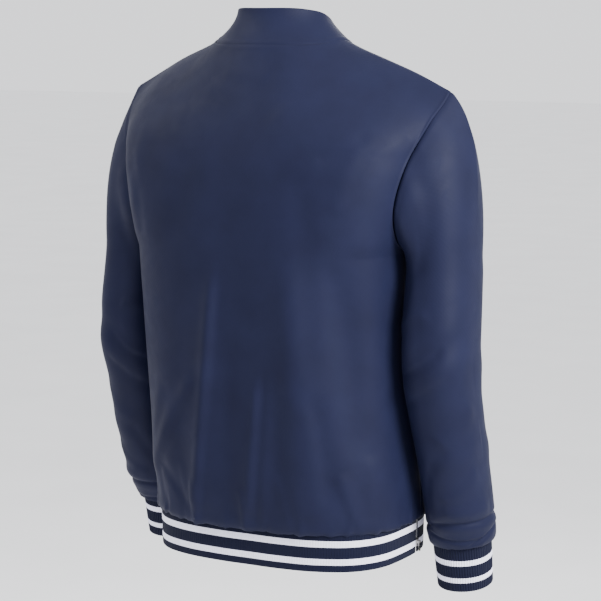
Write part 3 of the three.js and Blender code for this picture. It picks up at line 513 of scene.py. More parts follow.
# ---------------------------------------------------------------- meshes
@dataclass
class Wall:
    """A closed wall of cloth between an outer and a coarser inner grid of points.

    Attributes:
        outer: Rows by columns of points in millimetres.
        inner: The same, with whole steps between its rows and columns.
        ring: Whether the columns join round.
        stripe: Material number for each outer row of faces, or None.
        faces: Point numbers of each face.
        corners: Cloth coordinates of the faces' corners.
        numbers: Material number of each face.
    """

    outer: Array
    inner: Array
    ring: bool = False
    stripe: Sequence[int] | None = None
    faces: list[list[int]] = field(default_factory=list)
    corners: list[Array] = field(default_factory=list)
    numbers: list[int] = field(default_factory=list)

    def _lattice(self, grid: Array, first: int) -> tuple[Array, Array]:
        """Numbers a grid's points, with the first column repeated round a ring.

        Args:
            grid: The points.
            first: Number of the first point.

        Returns:
            Point numbers and cloth coordinates in metres.
        """
        rows, columns = grid.shape[:2]
        index = first + np.arange(rows * columns).reshape(rows, columns)
        if self.ring:
            index = np.concatenate([index, index[:, :1]], axis=1)
            grid = np.concatenate([grid, grid[:, :1]], axis=1)
        across = np.linalg.norm(np.diff(grid, axis=1), axis=2).mean(axis=0)
        down = np.linalg.norm(np.diff(grid, axis=0), axis=2).mean(axis=1)
        u = np.concatenate([[0], np.cumsum(across)]) * MM
        v = np.concatenate([[0], np.cumsum(down)]) * MM
        return index, np.stack(np.meshgrid(u, v), axis=-1)

    def _sheet(self, index: Array, uv: Array, flip: bool, stripe: Sequence[int] | None) -> None:
        """Adds a grid's faces.

        Args:
            index, uv: Its point numbers and cloth coordinates.
            flip: Whether the faces turn the other way.
            stripe: Material number of each row of faces, or None for the first material.
        """
        near, far = slice(None, -1), slice(1, None)
        parts = [(near, near), (near, far), (far, far), (far, near)]
        if flip:
            parts.reverse()
        quads = np.stack([index[part] for part in parts], axis=-1)
        places = np.stack([uv[part] for part in parts], axis=-2)
        self.faces += quads.reshape(-1, 4).tolist()
        self.corners.append(places.reshape(-1, 2))
        rows = stripe if stripe is not None else [0] * quads.shape[0]
        self.numbers += [number for number in rows for _ in range(quads.shape[1])]

    def _rim(
        self, lattices: Sequence[tuple[Array, Array]], border: Any, flip: bool, numbers: Sequence[int]
    ) -> None:
        """Joins a border of the outer grid to the same border of the inner one.

        Args:
            lattices: Point numbers and cloth coordinates of the outer and the inner grid.
            border: Index of the row or column.
            flip: Whether the faces turn the other way.
            numbers: Material numbers along the border.
        """
        (a, ua), (b, ub) = ([part[border] for part in lattice] for lattice in lattices)
        ratio = (len(a) - 1) // (len(b) - 1)
        for k in range(len(b) - 1):
            run = slice(k * ratio, (k + 1) * ratio + 1)
            edge, place = list(a[run]), list(ua[run])
            if flip:
                face, uv = edge[::-1] + [b[k], b[k + 1]], place[::-1] + [ub[k], ub[k + 1]]
            else:
                face, uv = edge + [b[k + 1], b[k]], place + [ub[k + 1], ub[k]]
            self.faces.append([int(i) for i in face])
            self.corners.append(np.array(uv))
            self.numbers.append(numbers[min(k * ratio, len(numbers) - 1)])

    def _outward(self, co: Array) -> None:
        """Turns every face round if the wall came out inside out.

        Args:
            co: Its points.
        """
        tri = np.array(
            [face[:3] for face in self.faces] + [[face[0], face[2], face[-1]] for face in self.faces]
        )
        volume = np.einsum("ij,ij->i", co[tri[:, 0]], np.cross(co[tri[:, 1]], co[tri[:, 2]])).sum()
        if volume < 0:
            self.faces = [face[::-1] for face in self.faces]
            sizes = [len(face) for face in self.faces]
            flat = np.concatenate(self.corners)
            self.corners = [flat[end - size:end][::-1] for end, size in zip(np.cumsum(sizes), sizes)]

    def build(self, name: str, materials: Sequence[Material]) -> Piece:
        """Makes the object.

        Args:
            name: Its name.
            materials: Its materials, in the order of the stripe numbers.

        Returns:
            The object, with a UV map in metres of cloth.
        """
        outer = self._lattice(self.outer, 0)
        inner = self._lattice(self.inner, self.outer[..., 0].size)
        self._sheet(*outer, False, self.stripe)
        self._sheet(*inner, True, None)
        rows = list(self.stripe) if self.stripe is not None else [0]
        self._rim((outer, inner), np.s_[0], True, rows[:1])
        self._rim((outer, inner), np.s_[-1], False, rows[-1:])
        if not self.ring:
            self._rim((outer, inner), np.s_[:, 0], False, rows)
            self._rim((outer, inner), np.s_[:, -1], True, rows)
        co = np.concatenate([self.outer.reshape(-1, 3), self.inner.reshape(-1, 3)]) * MM
        self._outward(co)
        return make_object(name, co, self.faces, materials, self.numbers, np.concatenate(self.corners))


def make_object(
    name: str,
    co: Array,
    faces: Sequence[Sequence[int]],
    materials: Sequence[Material],
    numbers: Sequence[int] | None = None,
    uv: Array | None = None,
    crisp: float = 50.0,
) -> Piece:
    """A mesh object, smooth apart from its crisp edges.

    Args:
        name: Its name.
        co: Points in metres.
        faces: Point numbers of each face.
        materials: Its materials.
        numbers: Material number of each face.
        uv: Cloth coordinates of each face corner.
        crisp: Angle in degrees above which an edge is sharp.

    Returns:
        The object, in the scene.
    """
    mesh = bpy.data.meshes.new(name)
    mesh.from_pydata(co, [], faces)
    for material in materials:
        mesh.materials.append(material)
    if numbers is not None:
        mesh.polygons.foreach_set("material_index", np.asarray(numbers, np.int32))
    if uv is not None:
        mesh.uv_layers.new(name="cloth").data.foreach_set("uv", np.asarray(uv, np.float32).ravel())
    mesh.shade_smooth()
    mesh.set_sharp_from_angle(angle=math.radians(crisp))
    mesh.update()
    made = bpy.data.objects.new(name, mesh)
    bpy.context.scene.collection.objects.link(made)
    return made


def grid_normals(grid: Array, ring: bool, core: Array) -> Array:
    """Outward normals of a grid.

    Args:
        grid: Rows by columns of points.
        ring: Whether its columns join round.
        core: A point inside, which tells outwards from inwards for the grid as a whole.

    Returns:
        Unit normals.
    """
    down = np.gradient(grid, axis=0)
    across = np.roll(grid, -1, 1) - np.roll(grid, 1, 1) if ring else np.gradient(grid, axis=1)
    normal = unit(np.cross(across, down))
    facing = (normal * (grid - core)).sum(axis=-1)
    return normal if facing.mean() > 0 else -normal


def distances(grid: Array, axis: int) -> tuple[Array, Array]:
    """Distances of each point from both ends of its column or row, along the grid.

    Args:
        grid: Rows by columns of points.
        axis: 0 to go down the columns, 1 to go along the rows.

    Returns:
        Distances from the first point and from the last.
    """
    step = np.linalg.norm(np.diff(grid, axis=axis), axis=2)
    start = np.zeros((1, grid.shape[1])) if axis == 0 else np.zeros((grid.shape[0], 1))
    run = np.concatenate([start, np.cumsum(step, axis=axis)], axis=axis)
    total = run[-1:] if axis == 0 else run[:, -1:]
    return run, total - run


@dataclass(frozen=True)
class Seam:
    """How a cloth's edge lies at a sewn seam: rolled down to it, over a padded allowance.

    Attributes:
        roll: Depth of the roll at the seam.
        sharp: Distance over which it rolls.
        pad: Height of the allowance under the cloth.
        pad_at: Distance of the allowance's middle from the seam.
    """

    roll: float = 0.5
    sharp: float = 1.2
    pad: float = 0.3
    pad_at: float = 4.5

    def relief(self, away: Array) -> Array:
        """Height of the cloth at a distance from the seam."""
        dip = self.roll * np.exp(-((away / self.sharp) ** 2))
        return self.pad * np.exp(-(((away - self.pad_at) / (0.6 * self.pad_at)) ** 2)) - dip


def thicken(grid: Array, normal: Array, thickness: float, every: int) -> Array:
    """Inner face of a cloth, on every few rows and columns of its outer face."""
    return (grid - normal * thickness)[::every, ::every]


# ---------------------------------------------------------------- the jacket's surfaces
class Cut:
    """The smooth surfaces of the body, sleeves, collar and bands, as the solids have them."""

    @staticmethod
    def hang(p: Array, amount: Array) -> Array:
        """Sways and tilts the body by an amount from 0 at the underarm to 1 at the hem."""
        amount = np.broadcast_to(amount, p.shape[:-1])
        return p + points(-amount * SWAY, 0 * amount, -amount * HEM_TILT_BACK * p[..., 1])

    @staticmethod
    def ring_point(table: Table, at: Array, turn: Array) -> tuple[Array, Array]:
        """Point of a body ring.

        Args:
            table: The rings.
            at: Places along the table's first column.
            turn: Turns in degrees from the centre back.

        Returns:
            Its X and Y.
        """
        mid, back, front = (table.read(name, at) for name in ("mid", "back", "front"))
        sx, cy = rounded(np.radians(turn), table.read("square", at))
        return table.read("half", at) * sx, mid + cy * np.where(cy > 0, back - mid, mid - front)

    @classmethod
    def body_row(cls, side: Side, s: Array, level: Array) -> Array:
        """Body below the underarm.

        Args:
            side: Back or front.
            s: 0 on the centre line, -1 and 1 at the side seams.
            level: 0 at the hem seam, 1 at the underarm.

        Returns:
            Points in millimetres.
        """
        seam = BODY_RINGS.read("seam", level)
        turn = s * seam if side is Side.BACK else sign_of(s) * (180 - np.abs(s) * (180 - seam))
        x, y = cls.ring_point(BODY_RINGS, level, turn)
        return cls.hang(points(x, y, BODY_RINGS.read("z", level)), smooth(1 - level))

    @staticmethod
    def yoke_row(side: Side, s: Array, level: Array) -> Array:
        """Yoke between the centre line and the armhole edge.

        Args:
            side: Back or front.
            s: 0 on the centre line, -1 and 1 at the armholes.
            level: 1 at the underarm, 2 at the shoulder.

        Returns:
            Points in millimetres.
        """
        get = partial(YOKES[side].read, at=level)
        mid, square = get("mid"), get("square")
        depth = get("cy") - mid
        share = np.clip((get("ey") - mid) / depth, -0.999, 0.999)
        power = np.maximum(np.abs(share) ** square, 1e-12)
        corner = np.arctan(((1 - power) / power) ** (1 / square))
        reach = np.where(share > 0, corner, np.pi - corner)
        sx, cy = rounded(s * reach, square)
        x = get("ex") / rounded(reach, square)[0] * sx
        fall = (x / get("ex")) ** 2
        return points(x, mid + depth * cy, get("cz") * (1 - fall) + get("ez") * fall)

    @staticmethod
    def loop(table: Table, turn: Array, sign: Array) -> Array:
        """Neck seam or collar edge.

        Args:
            table: The loop's table.
            turn: Turns in degrees from the centre back.
            sign: 1 on the wearer's left, -1 on the right.

        Returns:
            Points in millimetres.
        """
        a = np.radians(turn)
        x = sign * table.read("half", turn) * np.sin(a)
        y = table.read("centre", turn) + table.read("depth", turn) * np.cos(a)
        return points(x, y, table.read("z", turn))

    @classmethod
    def top_edge(cls, side: Side, s: Array) -> Array:
        """The yoke's top edge: neck seam up to the side neck, then the shoulder seam.

        Args:
            side: Back or front.
            s: 0 on the centre line, -1 and 1 at the armholes.

        Returns:
            Points in millimetres.
        """
        sign, a = sign_of(s), np.abs(s)
        turn = 90 * np.minimum(a / SIDE_NECK, 1)
        neck = cls.loop(NECK, turn if side is Side.BACK else 180 - turn, sign)
        t = np.clip((a - SIDE_NECK) / (1 - SIDE_NECK), 0, 1)
        shoulder = points(sign * SHOULDER.read("x", t), SHOULDER.read("y", t), SHOULDER.read("z", t))
        return np.where((a <= SIDE_NECK)[..., None], neck, shoulder)

    @staticmethod
    def top_arrival(side: Side, s: Array) -> Array:
        """Direction and reach of the yoke as it arrives at the top edge.

        Args:
            side: Back or front.
            s: 0 on the centre line, -1 and 1 at the armholes.

        Returns:
            Vectors in millimetres.
        """
        back = side is Side.BACK
        centre = np.array([0, -40, 95] if back else [0, 42, 70], float)
        shoulder = np.array([0, -120, 12] if back else [0, 120, 30], float)
        share = smooth(np.minimum(np.abs(s) / SIDE_NECK, 1))[..., None]
        return centre * (1 - share) + shoulder * share

    @classmethod
    def torso(cls, side: Side, s: Array, level: Array) -> Array:
        """Body and yoke without folds.

        Args:
            side: Back or front.
            s: -1 to 1 from seam to seam, 0 on the centre line.
            level: 0 at the hem seam, 1 at the underarm, 2 at the shoulder.

        Returns:
            Points in millimetres.
        """
        s, level = np.broadcast_arrays(np.asarray(s, float), np.asarray(level, float))
        body = cls.body_row(side, s, np.minimum(level, 1))
        yoke = cls.yoke_row(side, s, np.clip(level, 1, YOKE_BLEND))
        high = np.maximum(level, YOKE_BLEND)
        blend = np.full(s.shape, YOKE_BLEND)
        span, step = 2 - YOKE_BLEND, 1e-3
        t = ((high - YOKE_BLEND) / span)[..., None]

        def rise(a: Array) -> Array:
            """The yoke's curve from the blend to its top edge.

            Args:
                a: Places across.

            Returns:
                Points.
            """
            start = cls.yoke_row(side, a, blend)
            leave = (start - cls.yoke_row(side, a, blend - step)) * (span / step)
            return hermite(t, start, leave, cls.top_edge(side, a), cls.top_arrival(side, a))

        edge = cls.yoke_row(side, sign_of(s), high) - rise(sign_of(s))
        top = rise(s) + edge * (np.abs(s) ** 5)[..., None]
        level = level[..., None]
        return np.where(level <= 1, body, np.where(level <= YOKE_BLEND, yoke, top))

    @classmethod
    def near_centre(cls, level: Array, x: float, small: float = 0.02) -> Array:
        """Places s at which the front lies near the closing line.

        Args:
            level: The levels.
            x: Distance from the closing line.
            small: The s over which the front counts as straight.

        Returns:
            The places.
        """
        near = np.full(np.shape(level), small)
        run = cls.torso(Side.FRONT, near, level)[..., 0] - cls.torso(Side.FRONT, 0 * near, level)[..., 0]
        return x / run * small

    @staticmethod
    def lift(hand: Hand, level: Array) -> Array:
        """How much higher the left sleeve and cuff lie than the right ones.

        Args:
            hand: Which sleeve.
            level: Levels of the sleeve.

        Returns:
            Heights in millimetres, 0 on the right.
        """
        if hand is Hand.RIGHT:
            return 0 * np.asarray(level, float)
        return LEFT_LIFT * smooth(level) + LEFT_PUSH * smooth((level - PUSHED_FROM) / (1 - PUSHED_FROM))

    @classmethod
    def arm_ring(cls, hand: Hand, turn: Array, level: Array) -> Array:
        """Sleeve below its head.

        Args:
            hand: Which sleeve.
            turn: 0 outside, 0.25 back, 0.5 under the arm, 0.75 front.
            level: 0 at the first full ring, 1 at the cuff seam.

        Returns:
            Points in millimetres.
        """
        get = partial(ARM.read, at=level)
        back, out = rounded(turn * 2 * np.pi, get("square"))
        ease = 0
        if hand is Hand.LEFT:
            ease = LEFT_EASE * smooth((level - 0.6) / 0.3) * smooth((1 - level) / 0.05)
        x = out * np.where(out > 0, get("outer"), get("inner") + ease)
        y = back * np.where(back > 0, get("back"), get("front"))
        z = get("z") - y * np.tan(np.radians(get("pitch"))) + cls.lift(hand, level)
        return points(hand.value * (get("x") + x), get("y") + y, z)

    @classmethod
    def sleeve(cls, hand: Hand, turn: Array, level: Array) -> Array:
        """Sleeve without folds.

        Args:
            hand: Which sleeve.
            turn: 0 outside, 0.25 back, 0.5 under the arm, 0.75 front.
            level: -1 at the armhole, 0 at the first full ring, 1 at the cuff seam.

        Returns:
            Points in millimetres.
        """
        turn, level = np.broadcast_arrays(np.asarray(turn, float) % 1.0, np.asarray(level, float))
        rings = cls.arm_ring(hand, turn, np.maximum(level, 0))
        rise, step = 1 + np.abs(1 - 2 * turn), 1e-3

        def pick(column: str) -> Array:
            """A yoke column at the armhole: the back's in the back half, the front's in the front half."""
            return np.where(turn <= 0.5, *(YOKES[side].read(column, rise) for side in Side))

        start = points(hand.value * pick("ex"), pick("ey"), pick("ez"))
        zero = np.zeros(turn.shape)
        end = cls.arm_ring(hand, turn, zero)
        reach = np.linalg.norm(end - start, axis=-1, keepdims=True)
        leave = points(hand.value * HEAD.read("out", turn), HEAD.read("back", turn), -HEAD.read("down", turn))
        leave = leave * reach * HEAD.read("reach", turn)[..., None]
        arrive = unit(cls.arm_ring(hand, turn, zero + step) - end) * reach
        t = (np.minimum(level, 0) + 1)[..., None]
        return np.where(level[..., None] >= 0, rings, hermite(t, start, leave, end, arrive))

    @classmethod
    def collar(cls, turn: Array, level: Array) -> Array:
        """Collar's outer face.

        Args:
            turn: Turns in degrees from the centre back, below 0 on the wearer's right.
            level: 0 at the neck seam, 1 at the edge.

        Returns:
            Points in millimetres.
        """
        turn, level = np.broadcast_arrays(np.asarray(turn, float), np.asarray(level, float))
        sign, a = sign_of(turn), np.abs(turn)
        base, top = cls.loop(NECK, a, sign), cls.loop(COLLAR_TOP, a, sign)
        lean = (1 - np.maximum(1 - level, 0) ** NECK.read("flare", a))[..., None]
        made = base * (1 - lean) + top * lean
        made[..., 2] = base[..., 2] * (1 - level) + top[..., 2] * level
        return made

    @classmethod
    def hem(cls, turn: Array, drop: Array) -> Array:
        """Hem band's plain surface.

        Args:
            turn: Turns in degrees from the centre back.
            drop: Distances below the seam.

        Returns:
            Points in millimetres.
        """
        turn, drop = np.broadcast_arrays(np.asarray(turn, float), np.asarray(drop, float))
        x, y = cls.ring_point(HEM_RINGS, drop, turn)
        return cls.hang(points(x, y, HEM_LEVEL - drop), np.ones(turn.shape))

    @classmethod
    def cuff_axis(cls, hand: Hand) -> tuple[Array, Array, Array]:
        """How a cuff stands.

        Args:
            hand: Which cuff.

        Returns:
            The centre of its seam, its way down and its way back.
        """
        end = {name: float(ARM.read(name, 1.0)) for name in ("x", "y", "z", "pitch")}
        tip = math.radians(end["pitch"])
        centre = np.array([hand.value * end["x"], end["y"], end["z"] + float(cls.lift(hand, np.array(1.0)))])
        down = np.array([0, -math.sin(tip), -math.cos(tip)])
        return centre, down, np.array([0, math.cos(tip), -math.sin(tip)])

    @classmethod
    def cuff(cls, hand: Hand, turn: Array, drop: Array) -> Array:
        """Cuff's plain surface.

        Args:
            hand: Which cuff.
            turn: Turns round the wrist, as on the sleeve.
            drop: Distances below the seam.

        Returns:
            Points in millimetres.
        """
        turn, drop = np.broadcast_arrays(np.asarray(turn, float), np.asarray(drop, float))
        centre, down, back = cls.cuff_axis(hand)
        a = turn * 2 * np.pi
        across = hand.value * CUFF_RINGS.read("across", drop) * np.cos(a)
        fore = CUFF_RINGS.read("fore", drop) * np.sin(a)
        side = np.array([1.0, 0, 0])
        return centre + drop[..., None] * down + across[..., None] * side + fore[..., None] * back


# ---------------------------------------------------------------- finishes
def linear(colour: str) -> tuple[float, float, float, float]:
    """Turns a colour to linear.

    Args:
        colour: An sRGB hex value.

    Returns:
        Its linear red, green and blue, and alpha.
    """
    parts = [int(colour[k:k + 2], 16) / 255 for k in (1, 3, 5)]
    red, green, blue = (c / 12.92 if c <= 0.04045 else ((c + 0.055) / 1.055) ** 2.4 for c in parts)
    return red, green, blue, 1.0


def waves(pitch: float) -> float:
    """Scale at which a wave texture over metres repeats every pitch millimetres."""
    return 2 * math.pi / (20 * pitch * MM)


def add(tree: Tree, kind: str, inputs: dict[Any, Any] | None = None, **settings: Any) -> Node:
    """Adds a node.

    Args:
        tree: The tree that it joins.
        kind: Its Blender type.
        inputs: A value, or a socket to link from, for each input by name or number.
        settings: Its own settings.

    Returns:
        The node.
    """
    made = tree.nodes.new(kind)
    for name, value in settings.items():
        setattr(made, name, value)
    for key, value in (inputs or {}).items():
        if isinstance(value, bpy.types.NodeSocket):
            tree.links.new(value, made.inputs[key])
        else:
            made.inputs[key].default_value = value
    return made


def mixed(tree: Tree, share: Socket, deep: str, light: str) -> Socket:
    """A colour between two.

    Args:
        tree: The tree that it joins.
        share: 0 for the deep colour, 1 for the light one.
        deep, light: The colours in hex.

    Returns:
        The mixed colour's socket.
    """
    mix = add(tree, "ShaderNodeMix", {"Factor": share, 6: linear(deep), 7: linear(light)}, data_type="RGBA")
    return mix.outputs[2]


def ranged(tree: Tree, value: Socket, low: float, high: float) -> Socket:
    """A noise spread over a range.

    Args:
        tree: The tree that it joins.
        value: The noise, which mostly lies from 0.3 to 0.7.
        low, high: What those two turn into.

    Returns:
        The result's socket.
    """
    node = add(tree, "ShaderNodeMapRange", {"Value": value, 1: 0.3, 2: 0.7, 3: low, 4: high})
    return node.outputs["Result"]


class Finish:
    """What every finish shares: a surface shader whose inputs its own recipe gives."""

    name: str

    def inputs(self, tree: Tree, place: Any) -> dict[str, Any]:
        """Inputs of the surface shader.

        Args:
            tree: The tree that the patterns join.
            place: Sockets of the coordinates: Object, and UV in metres of cloth.

        Returns:
            A value or a socket for each input.
        """
        raise NotImplementedError

    def material(self) -> Material:
        """Makes the material.

        Returns:
            The material, named for what it really is.
        """
        made = bpy.data.materials.new(self.name)
        made.use_nodes = True
        tree = made.node_tree
        tree.nodes.clear()
        place = add(tree, "ShaderNodeTexCoord").outputs
        shader = add(tree, "ShaderNodeBsdfPrincipled", self.inputs(tree, place))
        add(tree, "ShaderNodeOutputMaterial", {"Surface": shader.outputs[0]})
        return made


@dataclass(frozen=True)
class WovenSatin(Finish):
    """Polyamide filament satin, piece-dyed: smooth, with a broad soft gloss and a pale bloom edge on."""

    name: str = "polyamide_satin_woven"
    deep: str = "#111326"
    light: str = "#181b32"
    cloud: float = 55.0  # size of the faint clouds that dyeing leaves
    thread: float = 1.3  # real threads are 0.2 mm apart; drawn coarser, so that the weave shows at all
    weave_depth: float = 0.05
    crumple: float = 22.0  # size of the small dents that handling leaves
    crumple_depth: float = 0.3
    roughness: tuple[float, float] = (0.54, 0.62)
    ior: float = 1.53
    specular: float = 0.07  # the threads shade each other, so little of the gloss gets out
    sheen: float = 0.01
    bloom: str = "#7d82b0"

    def inputs(self, tree: Tree, place: Any) -> dict[str, Any]:
        """Clouded dye, dents in the gloss, and the weave's warp and twill.

        Args:
            tree: The tree that the patterns join.
            place: Sockets of the coordinates.

        Returns:
            A value or a socket for each input.
        """
        solid, cloth = place["Object"], place["UV"]
        cloud = add(tree, "ShaderNodeTexNoise", {
            "Vector": solid, "Scale": 1 / (self.cloud * MM), "Detail": 4.0,
        })
        dents = add(tree, "ShaderNodeTexNoise", {
            "Vector": solid, "Scale": 1 / (self.crumple * MM), "Detail": 3.0, "Distortion": 0.6,
        })
        warp = add(tree, "ShaderNodeTexWave", {
            "Vector": cloth, "Scale": waves(self.thread), "Distortion": 0.6, "Detail": 1.0,
        }, bands_direction="X")
        twill = add(tree, "ShaderNodeTexWave", {
            "Vector": cloth, "Scale": waves(self.thread * 2), "Distortion": 0.4, "Detail": 1.0,
        }, bands_direction="DIAGONAL")
        both = {0: warp.outputs["Fac"], 1: twill.outputs["Fac"]}
        weave = add(tree, "ShaderNodeMath", both, operation="ADD")
        low = add(tree, "ShaderNodeBump", {
            "Height": dents.outputs["Fac"], "Distance": self.crumple_depth * MM, "Strength": 0.7,
        })
        fine = add(tree, "ShaderNodeBump", {
            "Height": weave.outputs[0], "Distance": self.weave_depth * MM, "Strength": 0.6,
            "Normal": low.outputs[0],
        })
        return {
            "Base Color": mixed(tree, cloud.outputs["Fac"], self.deep, self.light),
            "Roughness": ranged(tree, dents.outputs["Fac"], *self.roughness),
            "IOR": self.ior,
            "Specular IOR Level": self.specular,
            "Sheen Weight": self.sheen,
            "Sheen Roughness": 0.4,
            "Sheen Tint": linear(self.bloom),
            "Normal": fine.outputs[0],
        }


@dataclass(frozen=True)
class RibKnit(Finish):
    """Acrylic and wool yarn, rib-knitted: matt and a little hairy, in columns of small loops."""

    name: str
    # deep is the yarn darkened as painted shade between the loops, light the yarn lightened as painted
    # highlight on their tops
    deep: str
    light: str
    loop: float = 1.2  # real loops are about 0.9 mm wide; drawn a little coarser, so that they show
    course: float = 1.2  # a loop is this much taller than wide
    loop_depth: float = 0.22
    fuzz: float = 2.2  # size of the tufts of loose hair
    roughness: tuple[float, float] = (0.8, 0.95)
    ior: float = 1.52
    specular: float = 0.07
    sheen: float = 0.03

    def inputs(self, tree: Tree, place: Any) -> dict[str, Any]:
        """Columns and rows of loops, roughened by loose hair, with painted shade between the loops and
        painted highlight on their tops.

        Args:
            tree: The tree that the patterns join.
            place: Sockets of the coordinates.

        Returns:
            A value or a socket for each input.
        """
        solid, cloth = place["Object"], place["UV"]
        fuzz = add(
            tree, "ShaderNodeTexNoise", {"Vector": solid, "Scale": 1 / (self.fuzz * MM), "Detail": 3.0}
        )
        wales = add(tree, "ShaderNodeTexWave", {
            "Vector": cloth, "Scale": waves(self.loop), "Distortion": 0.5,
        }, bands_direction="X")
        courses = add(tree, "ShaderNodeTexWave", {
            "Vector": cloth, "Scale": waves(self.loop * self.course), "Distortion": 1.5, "Detail": 1.0,
        }, bands_direction="Y")
        loops = add(
            tree, "ShaderNodeMath", {0: wales.outputs["Fac"], 1: courses.outputs["Fac"]}, operation="MULTIPLY"
        )
        rough = add(tree, "ShaderNodeMath", {0: loops.outputs[0], 1: fuzz.outputs["Fac"]}, operation="ADD")
        bump = add(tree, "ShaderNodeBump", {
            "Height": rough.outputs[0], "Distance": self.loop_depth * MM, "Strength": 0.7,
        })
        return {
            # Base colour follows the loops' height: painted shade between loops and painted highlight on loop
            # tops, plus random tone from the loose hair.
            "Base Color": mixed(tree, rough.outputs[0], self.deep, self.light),
            "Roughness": ranged(tree, fuzz.outputs["Fac"], *self.roughness),
            "IOR": self.ior,
            "Specular IOR Level": self.specular,
            "Sheen Weight": self.sheen,
            "Sheen Roughness": 0.6,
            "Normal": bump.outputs[0],
        }


@dataclass(frozen=True)
class WovenTape(Finish):
    """Polyester zip tape in a tight herringbone: flat and fairly matt."""

    name: str = "polyester_tape_herringbone"
    # deep is the tape as painted shade in the rib valleys, light the tape as painted highlight on the rib
    # crests
    deep: str = "#1a2340"
    light: str = "#28335a"
    rib: float = 1.0  # the real herringbone repeats every 0.8 mm; drawn a little coarser
    rib_depth: float = 0.1
    ior: float = 1.57

    def inputs(self, tree: Tree, place: Any) -> dict[str, Any]:
        """Slanting ribs that shade and emboss the tape.

        Args:
            tree: The tree that the patterns join.
            place: Sockets of the coordinates.

        Returns:
            A value or a socket for each input.
        """
        bone = add(tree, "ShaderNodeTexWave", {
            "Vector": place["UV"], "Scale": waves(self.rib), "Distortion": 0.8, "Detail": 1.0,
        }, bands_direction="DIAGONAL")
        bump = add(tree, "ShaderNodeBump", {
            "Height": bone.outputs["Fac"], "Distance": self.rib_depth * MM, "Strength": 0.6,
        })
        return {
            # Base colour follows the ribs' height: painted shade in the valleys and painted highlight on the
            # crests.
            "Base Color": mixed(tree, bone.outputs["Fac"], self.deep, self.light),
            "Roughness": 0.75,
            "IOR": self.ior,
            "Sheen Weight": 0.15,
            "Normal": bump.outputs[0],
        }


@dataclass(frozen=True)
class PlatedZinc(Finish):
    """Die-cast zinc, tumbled and nickel-plated: a warm grey mirror, softened by fine rubbing marks."""

    name: str = "nickel_plated_zinc"
    deep: str = "#a7a59f"
    light: str = "#c9c7c1"
    grit: float = 0.8
    mark_depth: float = 0.03
    roughness: tuple[float, float] = (0.2, 0.38)

    def inputs(self, tree: Tree, place: Any) -> dict[str, Any]:
        """Rubbing marks in the gloss.

        Args:
            tree: The tree that the patterns join.
            place: Sockets of the coordinates.

        Returns:
            A value or a socket for each input.
        """
        rub = add(tree, "ShaderNodeTexNoise", {
            "Vector": place["Object"], "Scale": 1 / (self.grit * MM), "Detail": 5.0,
        })
        bump = add(tree, "ShaderNodeBump", {
            "Height": rub.outputs["Fac"], "Distance": self.mark_depth * MM, "Strength": 0.4,
        })
        return {
            "Base Color": mixed(tree, rub.outputs["Fac"], self.deep, self.light),
            "Metallic": 1.0,
            "Roughness": ranged(tree, rub.outputs["Fac"], *self.roughness),
            "Normal": bump.outputs[0],
        }


@dataclass(frozen=True)
class PaleFloor(Finish):
    """Smooth seamless studio paper: almost white, with a very faint tooth."""

    name: str = "studio_paper"
    deep: str = "#f1f1f1"
    light: str = "#fbfbfb"
    clouds: float = 3.0  # faint clouds to the metre

    def inputs(self, tree: Tree, place: Any) -> dict[str, Any]:
        """Faint clouds in the paper.

        Args:
            tree: The tree that the patterns join.
            place: Sockets of the coordinates.

        Returns:
            A value or a socket for each input.
        """
        tooth = add(
            tree, "ShaderNodeTexNoise", {"Vector": place["Object"], "Scale": self.clouds, "Detail": 2.0}
        )
        return {"Base Color": mixed(tree, tooth.outputs["Fac"], self.deep, self.light), "Roughness": 0.9}


class Cloth(Enum):
    """The two cloths."""

    SHELL = "shell"
    RIB = "rib"


@dataclass
class Finishes:
    """One made material of each finish."""

    shell: Material = field(default_factory=WovenSatin().material)
    # Each knit's first colour is its yarn as painted shade between the loops, its second the yarn as painted
    # highlight on their tops.
    navy: Material = field(default_factory=RibKnit("rib_knit_navy", "#090b1a", "#0e1126").material)
    white: Material = field(default_factory=RibKnit("rib_knit_white", "#cacbe0", "#e9e8f8").material)
    tape: Material = field(default_factory=WovenTape().material)
    metal: Material = field(default_factory=PlatedZinc().material)

    def of(self, cloth: Cloth) -> list[Material]:
        """Materials of a cloth, in the order of its stripe numbers."""
        return [self.shell] if cloth is Cloth.SHELL else [self.navy, self.white]


# ---------------------------------------------------------------- pieces
class Held(Enum):
    """How a sheet of cloth is held."""

    HUNG = "hung"
    GATHERED = "gathered"
    FOLDED = "folded"
    STRETCHED = "stretched"


@dataclass(frozen=True)
class FlatCut:
    """The flat cut of a cloth piece.

    Attributes:
        width: Its width in millimetres.
        length: Its length in millimetres.
        share: Its area as a share of width times length.
        held: How it is held.
        rests_on: The pieces that it hangs from or lies on.
    """

    width: float
    length: float
    share: float
    held: Held
    rests_on: tuple[str, ...]

    def declare(self, piece: Piece) -> None:
        """Turns the pieces that this cut rests on into a list, and keeps it nowhere.

        Args:
            piece: Not used.
        """
        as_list(self.rests_on)


def seat(piece: Piece, slot: str, *nodes: str) -> Piece:
    """Lets a piece ride on the garment in place of some nodes.

    Args:
        piece: The piece.
        slot: Not used.
        nodes: The nodes.

    Returns:
        The piece.
    """
    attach(piece, BODY)
    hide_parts(*nodes)
    return piece


def surface_area(grid: Array, ring: bool) -> float:
    """Area of a grid of points.

    Args:
        grid: Rows by columns of points.
        ring: Whether the columns join round.

    Returns:
        The area in square metres.
    """
    if ring:
        grid = np.concatenate([grid, grid[:, :1]], axis=1)
    a, b = grid[1:, 1:] - grid[:-1, :-1], grid[1:, :-1] - grid[:-1, 1:]
    return float(np.linalg.norm(np.cross(a, b), axis=2).sum() / 2) * MM * MM


